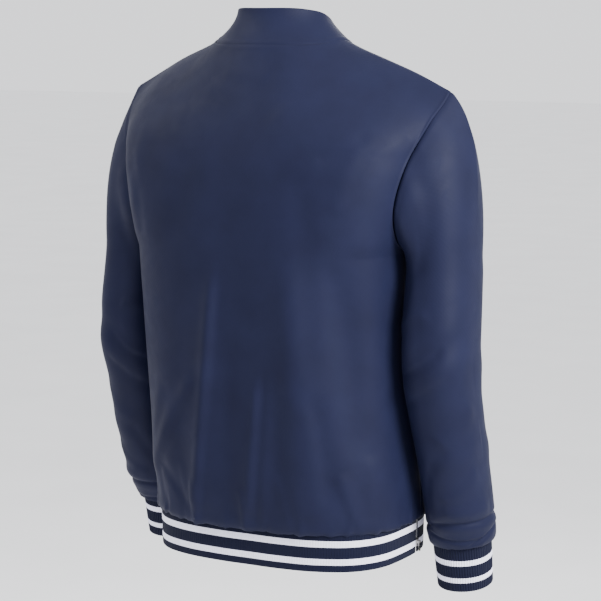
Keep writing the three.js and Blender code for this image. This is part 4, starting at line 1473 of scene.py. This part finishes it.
def sew(wall: Wall, node: str, name: str, cloth: Cloth, cut: FlatCut, finishes: Finishes) -> Piece:
    """Makes the cloth piece that stands for a node.

    Args:
        wall: Its wall.
        node: The node.
        name: The piece's name.
        cloth: Its cloth.
        cut: Its flat cut.
        finishes: The materials.

    Returns:
        The piece.
    """
    piece = wall.build(name, finishes.of(cloth))
    LOG.info("%s measures %.4f m2", node, surface_area(wall.outer, wall.ring))
    cut.declare(seat(piece, cloth.value, node))
    return piece


def even_levels(
    curve: Callable[[Array], Array], low: float, high: float, count: int, dense: Callable[[Array], Array]
) -> Array:
    """Levels at even distances along a curve, closer where dense is above 1.

    Args:
        curve: Points at levels.
        low, high: The first and last level.
        count: Number of steps.
        dense: How much closer the steps lie at levels.

    Returns:
        The levels.
    """
    raw = np.linspace(low, high, 1500)
    step = np.linalg.norm(np.diff(curve(raw), axis=0), axis=1) * dense((raw[1:] + raw[:-1]) / 2)
    run = np.concatenate([[0], np.cumsum(step)])
    return np.interp(np.linspace(0, run[-1], count + 1), run, raw)


def finer_at_ends(count: int, finer: float = 3.0, width: float = 0.05) -> Array:
    """Places from 0 to 1 that lie closer together at both ends.

    Args:
        count: Number of steps.
        finer: How much closer they lie at the very end, less 1.
        width: Share of the whole over which they spread out again.

    Returns:
        The places.
    """
    share = np.linspace(0, 1, count + 1)
    step = 1 / (1 + finer * (np.exp(-((share / width) ** 2)) + np.exp(-(((1 - share) / width) ** 2))))
    run = np.concatenate([[0], np.cumsum(step[1:] + step[:-1])])
    return run / run[-1]


def draw_in(surface: Callable[[Array, Array], Array], across: Array, level: Array, gap: float) -> None:
    """Moves the first and last row of levels inward, so that the cloth ends just short of its seams.

    Args:
        surface: Points at places across and levels.
        across: Place across of each point.
        level: Level of each point, changed in place.
        gap: Distance from the seams in millimetres.
    """
    for row, inward in ((0, 1e-3), (-1, -1e-3)):
        moved = surface(across[row], level[row] + inward) - surface(across[row], level[row])
        level[row] += inward * gap / np.maximum(np.linalg.norm(moved, axis=1), 1e-6)


@dataclass
class BodyPanels:
    """The back and the two fronts: single layers of shell, sewn all round."""

    columns: int = 176
    rows: int = 248
    measured_at: float = 0.45  # place across along which the rows are evenly spaced
    dense_below: float = 0.06  # level below which they lie closer, where the cloth turns up to its band
    denser: float = 2.4
    thickness: float = 1.5
    gap: float = 0.1
    ease_rounds: int = 90
    ease_from: float = 26.0  # distance below the top seams over which the easing sets in
    ease_width: float = 0.2  # share of the width to each side of the side neck that is eased
    fold_edges: tuple[float, float] = (20.0, 0.12)  # the folds fade over this height and share of the width
    crease_edges: tuple[float, float, float] = (14.0, 16.0, 9.0)  # the creases, over these at sides, top, hem
    gather_edges: tuple[float, float] = (9.0, 7.0)  # the gathers, over this much at sides and hem
    seam: Seam = field(default_factory=Seam)
    armhole_seam: Seam = field(default_factory=lambda: Seam(roll=0.4, sharp=0.8, pad=1.0, pad_at=2.3))
    hem_seam: Seam = field(default_factory=lambda: Seam(roll=0.8, sharp=1.6, pad=0.25, pad_at=4.0))
    gathers: Puckers = field(default_factory=lambda: Puckers(spacing=14, reach=24, rise=2.3))
    cuts: dict[str, FlatCut] = field(default_factory=lambda: {
        "back": FlatCut(607, 720, 0.84, Held.HUNG, ("collar_cloth",)),
        "front_left": FlatCut(270, 697, 0.82, Held.HUNG, ("collar_cloth",)),
        "front_right": FlatCut(270, 697, 0.82, Held.HUNG, ("collar_cloth",)),
    })

    def _grid(self, side: Side, first: float, last: float, columns: int) -> tuple[Array, Array, Array]:
        """Smooth surface between two places across, with its places and levels.

        Args:
            side: Back or front.
            first, last: -1, 0 or 1: right seam, closing line or left seam.
            columns: Number of steps across.

        Returns:
            Points, places across and levels.
        """
        surface = partial(Cut.torso, side)
        levels = even_levels(
            lambda level: surface(np.full(level.shape, self.measured_at), level), 0, 2, self.rows,
            lambda level: np.where(level < self.dense_below, self.denser, 1.0),
        )

        def ends(edge: float) -> Array:
            """Places across just short of a seam, or at the zip where the edge is the closing line.

            Args:
                edge: -1, 0 or 1, as first and last.

            Returns:
                A place for each level.
            """
            if edge == 0:
                return (1.0 if last == 1 else -1.0) * Cut.near_centre(levels, ZIP_HALF)
            near, far = (surface(np.full(levels.shape, edge * share), levels) for share in (0.999, 1.0))
            speed = np.linalg.norm(far - near, axis=1) / 0.001
            return edge * (1 - self.gap / np.maximum(speed, 1))

        share = finer_at_ends(columns)
        s = ends(first)[:, None] * (1 - share) + ends(last)[:, None] * share
        level = np.repeat(levels[:, None], columns + 1, axis=1)
        draw_in(surface, s, level, self.gap)
        return self._eased(surface(s, level), s), s, level

    def _eased(self, grid: Array, s: Array) -> Array:
        """Eases the cloth below the corner where the neck and shoulder seams meet, and leaves its edges.

        Args:
            grid: Points.
            s: Their places across.

        Returns:
            The eased points.
        """
        high, _ = distances(grid[::-1], 0)
        corner = np.exp(-(((np.abs(s) - SIDE_NECK) / self.ease_width) ** 2))
        share = corner * smooth(high[::-1] / self.ease_from)
        share = np.minimum(share, smooth(np.minimum(s - s[:, :1], s[:, -1:] - s) / 0.1))[..., None]
        for _ in range(self.ease_rounds):
            middle = (grid[:, :-2] + grid[:, 2:]) / 2
            grid = grid.copy()
            grid[:, 1:-1] += (middle - grid[:, 1:-1]) * share[:, 1:-1]
        return grid

    def _relief(self, side: Side, grid: Array, s: Array, level: Array) -> Array:
        """Height of folds, creases, gathers and seams over the smooth surface.

        Args:
            side: Back or front.
            grid: The smooth surface's points.
            s: Their places across.
            level: Their levels.

        Returns:
            Heights in millimetres.
        """
        broad, fine = (BACK_FOLDS, BACK_CREASES) if side is Side.BACK else (FRONT_FOLDS, FRONT_CREASES)
        x, z = grid[..., 0], grid[..., 2]
        left, right = distances(grid, 1)
        low, high = distances(grid, 0)
        above, across = self.fold_edges
        height = folds(broad, x, z) * (smooth((z - HEM_LEVEL) / above) * smooth((1 - np.abs(s)) / across))
        sides, top, hem = self.crease_edges
        inside = smooth(left / sides) * smooth(right / sides) * smooth(high / top) * smooth(low / hem)
        height += creases(fine, x, z) * inside
        sides, hem = self.gather_edges
        height += (
            self.gathers.height(left, low) * smooth(low / hem) * smooth(left / sides) * smooth(right / sides)
        )
        upper = smooth((level - 1) / 0.12)
        for away in (left, right):
            at_armhole = upper * (1 - smooth((level - 1.96) / 0.04))
            height += self.seam.relief(away) * (1 - at_armhole) + self.armhole_seam.relief(away) * at_armhole
        return height + self.seam.relief(high) + self.hem_seam.relief(low)

    def build(self, finishes: Finishes) -> Iterable[Piece]:
        """Makes and dresses the three panels.

        Args:
            finishes: The materials.

        Returns:
            Each piece.
        """
        wanted = {
            "back": (Side.BACK, -1, 1, self.columns),
            "front_left": (Side.FRONT, 0, 1, self.columns // 2),
            "front_right": (Side.FRONT, -1, 0, self.columns // 2),
        }
        for name, (side, first, last, columns) in wanted.items():
            grid, s, level = self._grid(side, first, last, columns)
            core = np.array([0, BODY_CORE, 0]) * np.ones(grid.shape)
            core[..., 2] = grid[..., 2]
            outer = grid + grid_normals(grid, False, core) * self._relief(side, grid, s, level)[..., None]
            wall = Wall(outer, thicken(outer, grid_normals(outer, False, core), self.thickness, 2))
            yield sew(wall, name, f"{name}_cloth", Cloth.SHELL, self.cuts[name], finishes)


@dataclass(frozen=True)
class Variation:
    """How one sleeve's creases differ from the table's: the two sleeves crease alike, not the same.

    Attributes:
        shift: Distance round the sleeve.
        drop: Distance down.
        strength: Height as a share of the table's.
    """

    shift: float = 0.0
    drop: float = 0.0
    strength: float = 1.0


@dataclass
class Sleeves:
    """The two set-in sleeves, pouched over their cuffs."""

    columns: int = 136
    rows: int = 228
    measured_at: float = 0.25  # turn along which the rows are evenly spaced
    dense_above: float = 0.9  # level above which they lie closer, at the pouch
    denser: float = 2.2
    thickness: float = 1.5
    gap: float = 0.1
    seam: Seam = field(default_factory=lambda: Seam(roll=1.0, sharp=1.7, pad=0.35, pad_at=6.0))
    cuff_seam: Seam = field(default_factory=lambda: Seam(roll=0.6, sharp=1.6, pad=0.2, pad_at=4.0))
    gathers: Puckers = field(default_factory=lambda: Puckers(spacing=11, reach=16, rise=0.9))
    ease: Puckers = field(default_factory=lambda: Puckers(spacing=23, reach=13, rise=0.45))
    turn_up: float = 9.0  # cloth between the fold of the pouch and the cuff seam
    ways: dict[Hand, Variation] = field(default_factory=lambda: {
        Hand.RIGHT: Variation(), Hand.LEFT: Variation(-17.0, 13.0, 0.9),
    })
    cut: FlatCut = FlatCut(388, 633, 0.71, Held.GATHERED, ("back_cloth",))

    def _surface(self, hand: Hand) -> tuple[Array, Array, Array]:
        """Smooth surface of a sleeve.

        Args:
            hand: Which sleeve.

        Returns:
            Points, turns and levels.
        """
        surface = partial(Cut.sleeve, hand)
        levels = even_levels(
            lambda level: surface(np.full(level.shape, self.measured_at), level), -1, 1, self.rows,
            lambda level: np.where(level > self.dense_above, self.denser, 1.0),
        )
        turn = np.repeat((np.arange(self.columns) / self.columns)[None], self.rows + 1, axis=0)
        level = np.repeat(levels[:, None], self.columns, axis=1)
        draw_in(surface, turn, level, self.gap)
        return surface(turn, level), turn, level

    def _relief(self, hand: Hand, grid: Array, turn: Array, level: Array) -> Array:
        """Height of folds, creases, rolls, gathers and seams over the smooth surface.

        Args:
            hand: Which sleeve.
            grid: The smooth surface's points.
            turn: Their turns.
            level: Their levels.

        Returns:
            Heights in millimetres.
        """
        z, around, way = grid[..., 2], turn * SLEEVE_GIRTH, self.ways[hand]
        high, low = distances(grid, 0)
        inner = 1 - np.exp(-(((turn - 0.5) / 0.1) ** 2))  # 0 under the arm, against the body
        fade = smooth((level + 1) / 0.3) * smooth((0.95 - level) / 0.05)
        height = folds(SLEEVE_FOLDS, turn, z, SLEEVE_GIRTH) * fade * inner
        calm = smooth(high / 26) * smooth(low / 22) * (0.25 + 0.75 * inner)
        moved = around + way.shift
        height += creases(SLEEVE_CREASES, moved, z + way.drop, SLEEVE_GIRTH) * calm * way.strength
        pouch = smooth((low - self.turn_up) / 8) * (0.35 + 0.65 * inner)
        rolls = creases(PUSHED_ROLLS, moved, low - self.turn_up, SLEEVE_GIRTH)
        height += rolls * pouch * way.strength
        height += self.gathers.height(around, low) * smooth(low / 8) * (0.4 + 0.6 * inner)
        height += self.ease.height(around, high) * smooth(high / 4)
        return height + self.seam.relief(high) + self.cuff_seam.relief(low)

    def build(self, finishes: Finishes) -> Iterable[Piece]:
        """Makes and dresses both sleeves.

        Args:
            finishes: The materials.

        Returns:
            Each piece.
        """
        for hand in Hand:
            grid, turn, level = self._surface(hand)
            core = grid.mean(axis=1, keepdims=True)
            outer = grid + grid_normals(grid, True, core) * self._relief(hand, grid, turn, level)[..., None]
            wall = Wall(outer, thicken(outer, grid_normals(outer, True, core), self.thickness, 2), ring=True)
            node = f"sleeve_{hand.word}"
            yield sew(wall, node, f"{node}_cloth", Cloth.SHELL, self.cut, finishes)


def rolled(last: Array, normal: Array, onward: Array, thickness: float, count: int) -> tuple[Array, Array]:
    """Rows that carry a wall's two faces over a rounded edge, almost to where they meet.

    Args:
        last: Last row of the outer face.
        normal: Its outward normals.
        onward: Directions in which the wall ends.
        thickness: The wall's thickness.
        count: Number of rows to add to each face.

    Returns:
        The outer face's rows and the inner face's.
    """
    half = thickness / 2
    centre = last - normal * half
    angle = np.radians(np.linspace(0, 84, count + 1)[1:])[:, None, None]
    along = centre + onward * half * np.sin(angle)
    return along + normal * half * np.cos(angle), along - normal * half * np.cos(angle)


@dataclass
class StandCollar:
    """The stand collar of shell over interlining, with a soft rounded top."""

    columns: int = 200
    rows: int = 26
    roll_rows: int = 5
    gap: float = 0.1
    seam: Seam = field(default_factory=lambda: Seam(roll=0.8, sharp=1.5, pad=0.5, pad_at=4.0))
    ripple: Puckers = field(default_factory=lambda: Puckers(spacing=29, reach=15, rise=0.5))
    cut: FlatCut = FlatCut(595, 57, 0.74, Held.FOLDED, ("back_cloth",))

    def build(self, finishes: Finishes) -> Iterable[Piece]:
        """Makes and dresses the collar.

        Args:
            finishes: The materials.

        Returns:
            The piece.
        """
        edge, step = np.array([180.0]), 0.1
        share = np.linspace(0, 1, self.rows + 1)
        speed = np.linalg.norm(Cut.collar(edge, share) - Cut.collar(edge - step, share), axis=-1) / step
        turn = (180 - ZIP_HALF / speed)[:, None] * np.linspace(-1, 1, self.columns + 1)
        height = np.linalg.norm(Cut.collar(turn[0], 1.0) - Cut.collar(turn[0], 0.0), axis=1)
        grid = Cut.collar(turn, (self.gap + share[:, None] * (height - self.gap - COLLAR / 2)) / height)
        normal = grid_normals(grid, False, grid.mean(axis=1, keepdims=True) * np.ones(grid.shape))
        up, down = distances(grid, 0)
        left, _ = distances(grid, 1)
        relief = self.seam.relief(up) + self.ripple.height(left, up) * smooth(up / 5) * smooth(down / 8)
        outer = grid + normal * relief[..., None]
        onward = unit(outer[-1] - outer[-2])
        over, under = rolled(outer[-1], normal[-1], onward, COLLAR, self.roll_rows)
        wall = Wall(np.concatenate([outer, over]), np.concatenate([outer - normal * COLLAR, under]))
        yield sew(wall, "collar", "collar_cloth", Cloth.SHELL, self.cut, finishes)


# ---------------------------------------------------------------- knitted bands
def run_of(line: Array) -> Array:
    """Distances along a line of points to each of them."""
    return np.concatenate([[0], np.cumsum(np.linalg.norm(np.diff(line, axis=0), axis=1))])


def read_along(values: Array, run: Array, at: Array) -> Array:
    """Vectors between a line's own.

    Args:
        values: A vector at each point of the line.
        run: Distance along the line to each point.
        at: Distances at which they are wanted.

    Returns:
        The vectors.
    """
    return np.stack([np.interp(at, run, values[:, k]) for k in range(3)], axis=-1)


def evenly(line: Array, count: int) -> Array:
    """Points at even distances along a line of points, count steps in all."""
    run = run_of(line)
    return read_along(line, run, np.linspace(0, run[-1], count + 1))


@dataclass(frozen=True)
class Stripes:
    """Navy and white stripes of a band, from its bottom edge up in millimetres."""

    heights: tuple[float, ...]

    def drops(self, depth: float, step: float) -> Array:
        """Distances below the seam for rows of faces that end at each stripe's edge.

        Args:
            depth: The band's height.
            step: The rows' greatest height.

        Returns:
            The distances, from 0 to the depth.
        """
        marks = np.unique(depth - np.concatenate([[0], np.cumsum(self.heights), [depth]]))
        rows = [
            np.linspace(a, b, max(2, math.ceil((b - a) / step) + 1))[:-1]
            for a, b in zip(marks[:-1], marks[1:])
        ]
        return np.concatenate(rows + [[depth]])

    def number(self, height: float) -> int:
        """Number of the yarn at a height.

        Args:
            height: Height above the bottom edge.

        Returns:
            0 for navy or 1 for white.
        """
        if height >= sum(self.heights):
            return 0
        return int(np.searchsorted(np.cumsum(self.heights), height, side="right")) % 2


@dataclass
class RibbedBand:
    """A doubled rib-knitted band: columns of ribs round a soft folded bottom edge.

    Attributes:
        stripes: Its stripes.
        depth: Its height below the seam.
        rise: How far a rib stands out.
        per_rib: Columns of faces to a rib.
        thickness: Its thickness between the ribs.
        row_step: Greatest height of a row of faces.
        roll_rows: Rows round its folded edge.
        gap: Its distance from the seam.
        slack: How far the knit waves in and out along the band.
    """

    stripes: Stripes
    depth: float
    rise: float
    per_rib: int = 8
    thickness: float = 2.0
    row_step: float = 4.0
    roll_rows: int = 4
    gap: float = 0.1
    slack: float = 0.35

    def wall(self, curve: Callable[[float], Array], core: Array, onward: Array, ring: bool) -> Wall:
        """The band's wall.

        Args:
            curve: A dense line of points along the band at a drop below its seam.
            core: A point inside the band.
            onward: Direction in which its free edge points.
            ring: Whether it closes on itself.

        Returns:
            The wall, with its stripes.
        """
        drops = self.stripes.drops(self.depth, self.row_step)
        drops[0], drops[-1] = self.gap, self.depth - self.thickness / 2
        length = np.linalg.norm(np.diff(curve(0.0), axis=0), axis=1).sum()
        ribs = round(length / RIB_PITCH / 2) * 2
        grid = np.stack([evenly(curve(float(drop)), ribs * self.per_rib) for drop in drops])
        if ring:
            grid = grid[:, :-1]
        normal = grid_normals(grid, ring, core)
        place = np.arange(grid.shape[1]) / self.per_rib
        uneven = (place.astype(int) * GOLDEN) % 1.0
        profile = np.sin(np.pi * (place % 1.0)) ** 1.3 * (0.85 + 0.3 * uneven)
        sway = self.slack * np.sin(place * 0.31) * np.sin(place * 0.083 + 1) * smooth(drops / 20)[:, None]
        ends = 1.0 if ring else smooth(np.minimum(place, place[-1] - place) / 3)
        outer = grid + normal * (self.rise * profile + sway * ends)[..., None]
        inner = (grid - normal * self.thickness)[:, :: self.per_rib]
        inward = onward * np.ones(outer[-1].shape)
        over, _ = rolled(outer[-1], normal[-1], inward, self.thickness, self.roll_rows)
        _, under = rolled(grid[-1], normal[-1], inward, self.thickness, self.roll_rows)
        middle = np.concatenate([(drops[1:] + drops[:-1]) / 2, np.full(self.roll_rows, self.depth)])
        return Wall(
            np.concatenate([outer, over]),
            np.concatenate([inner, under[:, :: self.per_rib]]),
            ring=ring,
            stripe=[self.stripes.number(self.depth - float(drop)) for drop in middle],
        )


@dataclass
class Hem:
    """The hem band in three pieces: whole across the back, parted at the front zip and the right side."""

    points: int = 900  # points of the dense line along a band
    band: RibbedBand = field(default_factory=lambda: RibbedBand(
        Stripes((9.4, 8.3, 15.5, 8.6)), HEM_DEPTH, 0.3
    ))
    cuts: dict[str, FlatCut] = field(default_factory=lambda: {
        "hem_back": FlatCut(520, 55, 1.0, Held.STRETCHED, ("back_cloth",)),
        "hem_front_left": FlatCut(202, 55, 1.0, Held.STRETCHED, ("front_left_cloth",)),
        "hem_front_right": FlatCut(199, 55, 1.0, Held.STRETCHED, ("front_right_cloth",)),
    })

    def _line(self, ends: Sequence[tuple[float, float]], drop: float) -> Array:
        """Dense line along one of the bands.

        Args:
            ends: For each end, its turn in degrees and how far the band stops before it.
            drop: Distance below the seam.

        Returns:
            The line's points.
        """
        turns = []
        for (turn, short), way in zip(ends, (1, -1)):
            speed = float(np.linalg.norm(Cut.hem(turn + 0.1, drop) - Cut.hem(turn - 0.1, drop)) / 0.2)
            turns.append(turn + way * short / speed)
        return Cut.hem(np.linspace(*turns, self.points), np.full(self.points, drop))

    def build(self, finishes: Finishes) -> Iterable[Piece]:
        """Makes and dresses the three bands.

        Args:
            finishes: The materials.

        Returns:
            Each piece.
        """
        near, core, onward = self.band.gap, np.array([0, BODY_CORE, HEM_LEVEL]), np.array([0, 0, -1.0])
        spans = {
            "hem_back": ((-HEM_SIDE, SIDE_ZIP_HALF), (HEM_SIDE, near)),
            "hem_front_left": ((HEM_SIDE, near), (180.0, ZIP_HALF)),
            "hem_front_right": ((-180.0, ZIP_HALF), (-HEM_SIDE, SIDE_ZIP_HALF)),
        }
        for name, ends in spans.items():
            wall = self.band.wall(partial(self._line, ends), core, onward, False)
            yield sew(wall, name, f"{name}_rib", Cloth.RIB, self.cuts[name], finishes)


@dataclass
class Cuffs:
    """The two rib-knitted cuffs."""

    steps: int = 720  # steps of the dense line round a cuff
    band: RibbedBand = field(default_factory=lambda: RibbedBand(
        Stripes((13.0, 7.0, 17.6, 7.6)), CUFF_DEPTH, 0.8
    ))
    cuts: dict[Hand, FlatCut] = field(default_factory=lambda: {
        hand: FlatCut(240, 72, 1.0, Held.STRETCHED, (f"sleeve_{hand.word}_cloth",)) for hand in Hand
    })

    def build(self, finishes: Finishes) -> Iterable[Piece]:
        """Makes and dresses both cuffs.

        Args:
            finishes: The materials.

        Returns:
            Each piece.
        """
        turns = np.linspace(0, 1, self.steps + 1)
        for hand in Hand:
            centre, down, _ = Cut.cuff_axis(hand)
            wall = self.band.wall(partial(Cut.cuff, hand, turns), centre + down * CUFF_DEPTH / 2, down, True)
            node = f"cuff_{hand.word}"
            yield sew(wall, node, f"{node}_rib", Cloth.RIB, self.cuts[hand], finishes)


# ---------------------------------------------------------------- zips
@dataclass(frozen=True)
class Tooth:
    """A zip tooth: a shank on the tape and a wider head over the closing line, with eased edges."""

    pitch: float = 2.6
    tail: float = 3.0  # from the closing line out to the tooth's root
    past: float = 0.55  # how far its head reaches over the closing line
    width: float = 1.25
    height: float = 1.7

    def points(self) -> tuple[Array, list[list[int]]]:
        """Its shape.

        Returns:
            Its points, as (across, along, out), and its faces.
        """
        w = self.width / 2
        half = [(-self.past, -0.55 * w), (0.5, -w), (1.2, -0.8 * w), (self.tail, -0.75 * w)]
        outline = np.array(half + [(x, -y) for x, y in half[::-1]])
        middle = outline.mean(axis=0)
        rings = [(-0.5, 0.78), (-0.34, 1.0), (0.34, 1.0), (0.5, 0.78)]  # shares of height and outline
        layers = [
            np.column_stack([middle + (outline - middle) * size, np.full(len(outline), self.height * z)])
            for z, size in rings
        ]
        n = len(outline)
        faces = [
            [k * n + i, k * n + (i + 1) % n, (k + 1) * n + (i + 1) % n, (k + 1) * n + i]
            for k in range(len(rings) - 1) for i in range(n)
        ]
        faces += [list(range(n))[::-1], [(len(rings) - 1) * n + i for i in range(n)]]
        return np.concatenate(layers), faces


@dataclass
class ZipHalf:
    """One half of a zip: a strip of tape with its row of teeth.

    Attributes:
        line: Points of the closing line.
        out: Outward direction at each of them.
        side: Direction from the closing line to this half's edge.
        reach: Distance to that edge.
        tooth: Its tooth.
        phase: How far its first tooth is moved along, so that the halves mesh.
        tape_depth: How far the tape lies under the closing line.
        tape_thick: The tape's thickness.
        tape_from: Distance from the closing line to the tape.
        bare: Length at each end of the tape without teeth.
    """

    line: Array
    out: Array
    side: Array
    reach: float
    tooth: Tooth
    phase: float
    tape_depth: float = 0.55
    tape_thick: float = 0.9
    tape_from: float = 0.15
    bare: float = 1.0

    def build(self, name: str, finishes: Finishes) -> Iterable[Piece]:
        """Makes and dresses the tape and its teeth.

        Args:
            name: The node that they stand for, which also begins their names.
            finishes: The materials.

        Returns:
            The tape and the teeth.
        """
        across = np.linspace(self.tape_from, self.reach, 7)
        face = self.line[:, None] + self.side * across[:, None] - self.out[:, None] * self.tape_depth
        rear = face - self.out[:, None] * self.tape_thick
        yield seat(Wall(face, rear).build(f"{name}_tape", [finishes.tape]), "zip_tape", name)
        run = run_of(self.line)
        places = np.arange(self.bare + self.phase, run[-1] - self.bare, self.tooth.pitch)
        out = unit(read_along(self.out, run, places))
        along = unit(np.cross(np.broadcast_to(self.side, out.shape), out))
        base = read_along(self.line, run, places) - out * ZIP_TAPE / 2
        shape, faces = self.tooth.points()
        co = (
            base[:, None] + shape[None, :, :1] * self.side
            + shape[None, :, 1:2] * along[:, None] + shape[None, :, 2:] * out[:, None]
        ).reshape(-1, 3) * MM
        if float(np.dot(np.cross(self.side, along[0]), out[0])) < 0:
            faces = [face[::-1] for face in faces]
        every = [[k * len(shape) + i for i in face] for k in range(len(places)) for face in faces]
        teeth = make_object(f"{name}_teeth", co, every, [finishes.metal], crisp=35.0)
        yield seat(teeth, "zip_metal", name)


def outwards(line: Array, side: Array) -> Array:
    """Outward directions along a line, square to it and to a zip's width.

    Args:
        line: The line's points.
        side: Direction of the zip's width.

    Returns:
        A direction for each point.
    """
    out = unit(np.cross(unit(np.gradient(line, axis=0)), side))
    core = points(np.zeros(len(line)), np.full(len(line), BODY_CORE), line[:, 2])
    return out * np.where((out * (line - core)).sum(axis=1) < 0, -1.0, 1.0)[:, None]


@dataclass
class Zips:
    """The front zip from hem to collar and the short zip in the right side of the hem band."""

    tooth: Tooth = field(default_factory=Tooth)
    small: Tooth = field(default_factory=lambda: Tooth(pitch=1.9, tail=1.9, past=0.4, width=0.95, height=1.5))
    slider_room: float = 12.8  # the side zip ends this far above the band's bottom, where its slider sits
    clear: float = 0.3  # between the tape and the cloth's edge
    steps: int = 260  # steps along the front zip

    def _front_line(self) -> Array:
        """Closing line of the front, from the band's bottom up the body and the collar.

        Returns:
            The line's points, evenly spaced.
        """
        levels = np.linspace(0.002, 2, 240)
        body = Cut.torso(Side.FRONT, Cut.near_centre(levels, ZIP_HALF), levels) - np.array([ZIP_HALF, 0, 0])
        drops = np.linspace(HEM_DEPTH, 0, 16)
        climb = np.linspace(0, ZIP_END, 24)[1:]
        band = Cut.hem(np.full(drops.shape, 180.0), drops)
        collar = Cut.collar(np.full(climb.shape, 180.0), climb)
        return evenly(np.concatenate([band, body, collar]), self.steps)

    def _side_line(self) -> Array:
        """Closing line of the side zip, from the hem seam down to its slider."""
        drops = np.linspace(0.1, HEM_DEPTH - self.slider_room, 24)
        return Cut.hem(np.full(drops.shape, -HEM_SIDE), drops)

    def build(self, finishes: Finishes) -> Iterable[Piece]:
        """Makes and dresses both zips, and gives the sliders and pulls their finish.

        Args:
            finishes: The materials.

        Returns:
            Each piece.
        """
        front, short = self._front_line(), self._side_line()
        kinds = (
            ("front_zip", ("left", "right"), front, np.array([1.0, 0, 0]), ZIP_HALF, self.tooth),
            ("side_zip", ("back", "front"), short, np.array([0, 1.0, 0]), SIDE_ZIP_HALF, self.small),
        )
        for zip_name, words, line, side, reach, tooth in kinds:
            out = outwards(line, side)
            for word, way, phase in zip(words, (1.0, -1.0), (0.0, tooth.pitch / 2)):
                half = ZipHalf(line, out, way * side, reach - self.clear, tooth, phase)
                yield from half.build(f"{zip_name}_{word}", finishes)
        for name in ("front_slider", "front_pull", "side_slider", "side_pull"):
            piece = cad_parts[name]
            for slot in piece.material_slots:
                slot.material = finishes.metal
            yield piece


# ---------------------------------------------------------------- studio
@dataclass(frozen=True)
class Softbox:
    """A square soft light.

    Attributes:
        place: Where it stands, in metres.
        size: Length of its sides in metres.
        power: Its power in watts.
    """

    place: tuple[float, float, float]
    size: float
    power: float


@dataclass
class Studio:
    """Pale floor, soft light from both sides, above and in front, and the camera."""

    floor_level: float = -1420.0
    floor_size: float = 60.0  # metres
    distance: float = 3000.0
    azimuth: float = 210.32
    height: float = 39.8
    look_azimuth: float = 210.047
    look_elevation: float = 7.466
    lens: float = 133.04
    sensor: float = 36.0
    world: float = 1.5
    world_colour: str = "#fafbff"
    middle: float = -0.35  # height of the jacket's middle in metres, which the softboxes look at
    softboxes: dict[str, Softbox] = field(default_factory=lambda: {
        "softbox_right": Softbox((-1.70, 0.50, 0.40), 0.9, 92),
        "softbox_left": Softbox((1.70, 0.90, 1.50), 1.0, 36),
        "softbox_top": Softbox((-0.30, 0.60, 2.40), 2.0, 20),
        "softbox_front": Softbox((0.60, -2.60, 0.80), 1.8, 24),
    })

    def _place(self, name: str, data: bpy.types.ID, place: Vector, back: Vector) -> Piece:
        """Adds a camera or a light.

        Args:
            name: Its name.
            data: Its data.
            place: Where it stands, in metres.
            back: The way its back faces.

        Returns:
            The object, upright.
        """
        made = bpy.data.objects.new(name, data)
        bpy.context.scene.collection.objects.link(made)
        right = Vector((0, 0, 1)).cross(back).normalized()
        turn = Matrix((right, back.cross(right), back)).transposed().to_4x4()
        made.matrix_world = Matrix.Translation(place) @ turn
        return made

    def _camera(self) -> None:
        """Adds the camera."""
        data = bpy.data.cameras.new("camera")
        data.lens, data.sensor_width, data.clip_end = self.lens, self.sensor, 200.0
        a, b, e = (math.radians(angle) for angle in (self.azimuth, self.look_azimuth, self.look_elevation))
        place = Vector((math.sin(a) * self.distance, -math.cos(a) * self.distance, self.height)) * MM
        back = Vector((math.sin(b) * math.cos(e), -math.cos(b) * math.cos(e), math.sin(e)))
        bpy.context.scene.camera = self._place("camera", data, place, back)

    def build(self) -> None:
        """Makes the floor, the lights, the world and the camera."""
        half = self.floor_size / 2
        corners = np.array([(-half, -half), (half, -half), (half, half), (-half, half)])
        co = np.column_stack([corners, np.full(4, self.floor_level * MM)])
        make_object("floor", co, [[0, 1, 2, 3]], [PaleFloor().material()])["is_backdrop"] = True
        world = bpy.data.worlds.new("studio")
        world.use_nodes = True
        background = world.node_tree.nodes["Background"]
        background.inputs["Color"].default_value = linear(self.world_colour)
        background.inputs["Strength"].default_value = self.world
        bpy.context.scene.world = world
        for name, box in self.softboxes.items():
            data = bpy.data.lights.new(name, "AREA")
            data.shape, data.size, data.energy = "SQUARE", box.size, box.power
            place = Vector(box.place)
            self._place(name, data, place, (place - Vector((0, 0, self.middle))).normalized())
        self._camera()


def report(piece: Piece) -> int:
    """Logs a piece's name and number of triangles.

    Args:
        piece: The piece.

    Returns:
        The number.
    """
    triangles = sum(len(face.vertices) - 2 for face in piece.data.polygons)
    LOG.info("%s: %d triangles", piece.name, triangles)
    return triangles


def main() -> None:
    """Builds the studio and every sub-assembly, and works out the CAD and visual boxes without keeping them.
    """
    logging.basicConfig(level=logging.INFO, format="%(name)s: %(message)s")
    Studio().build()
    finishes = Finishes()
    assemblies = (BodyPanels(), Sleeves(), StandCollar(), Hem(), Cuffs(), Zips())
    total = sum(report(piece) for assembly in assemblies for piece in assembly.build(finishes))
    LOG.info("all pieces: %d triangles", total)
    boxes = {"cad": CAD_BOX, "visual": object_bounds()}
    {name: [[float(v) for v in corner] for corner in box] for name, box in boxes.items()}


if __name__ == "__main__":
    main()
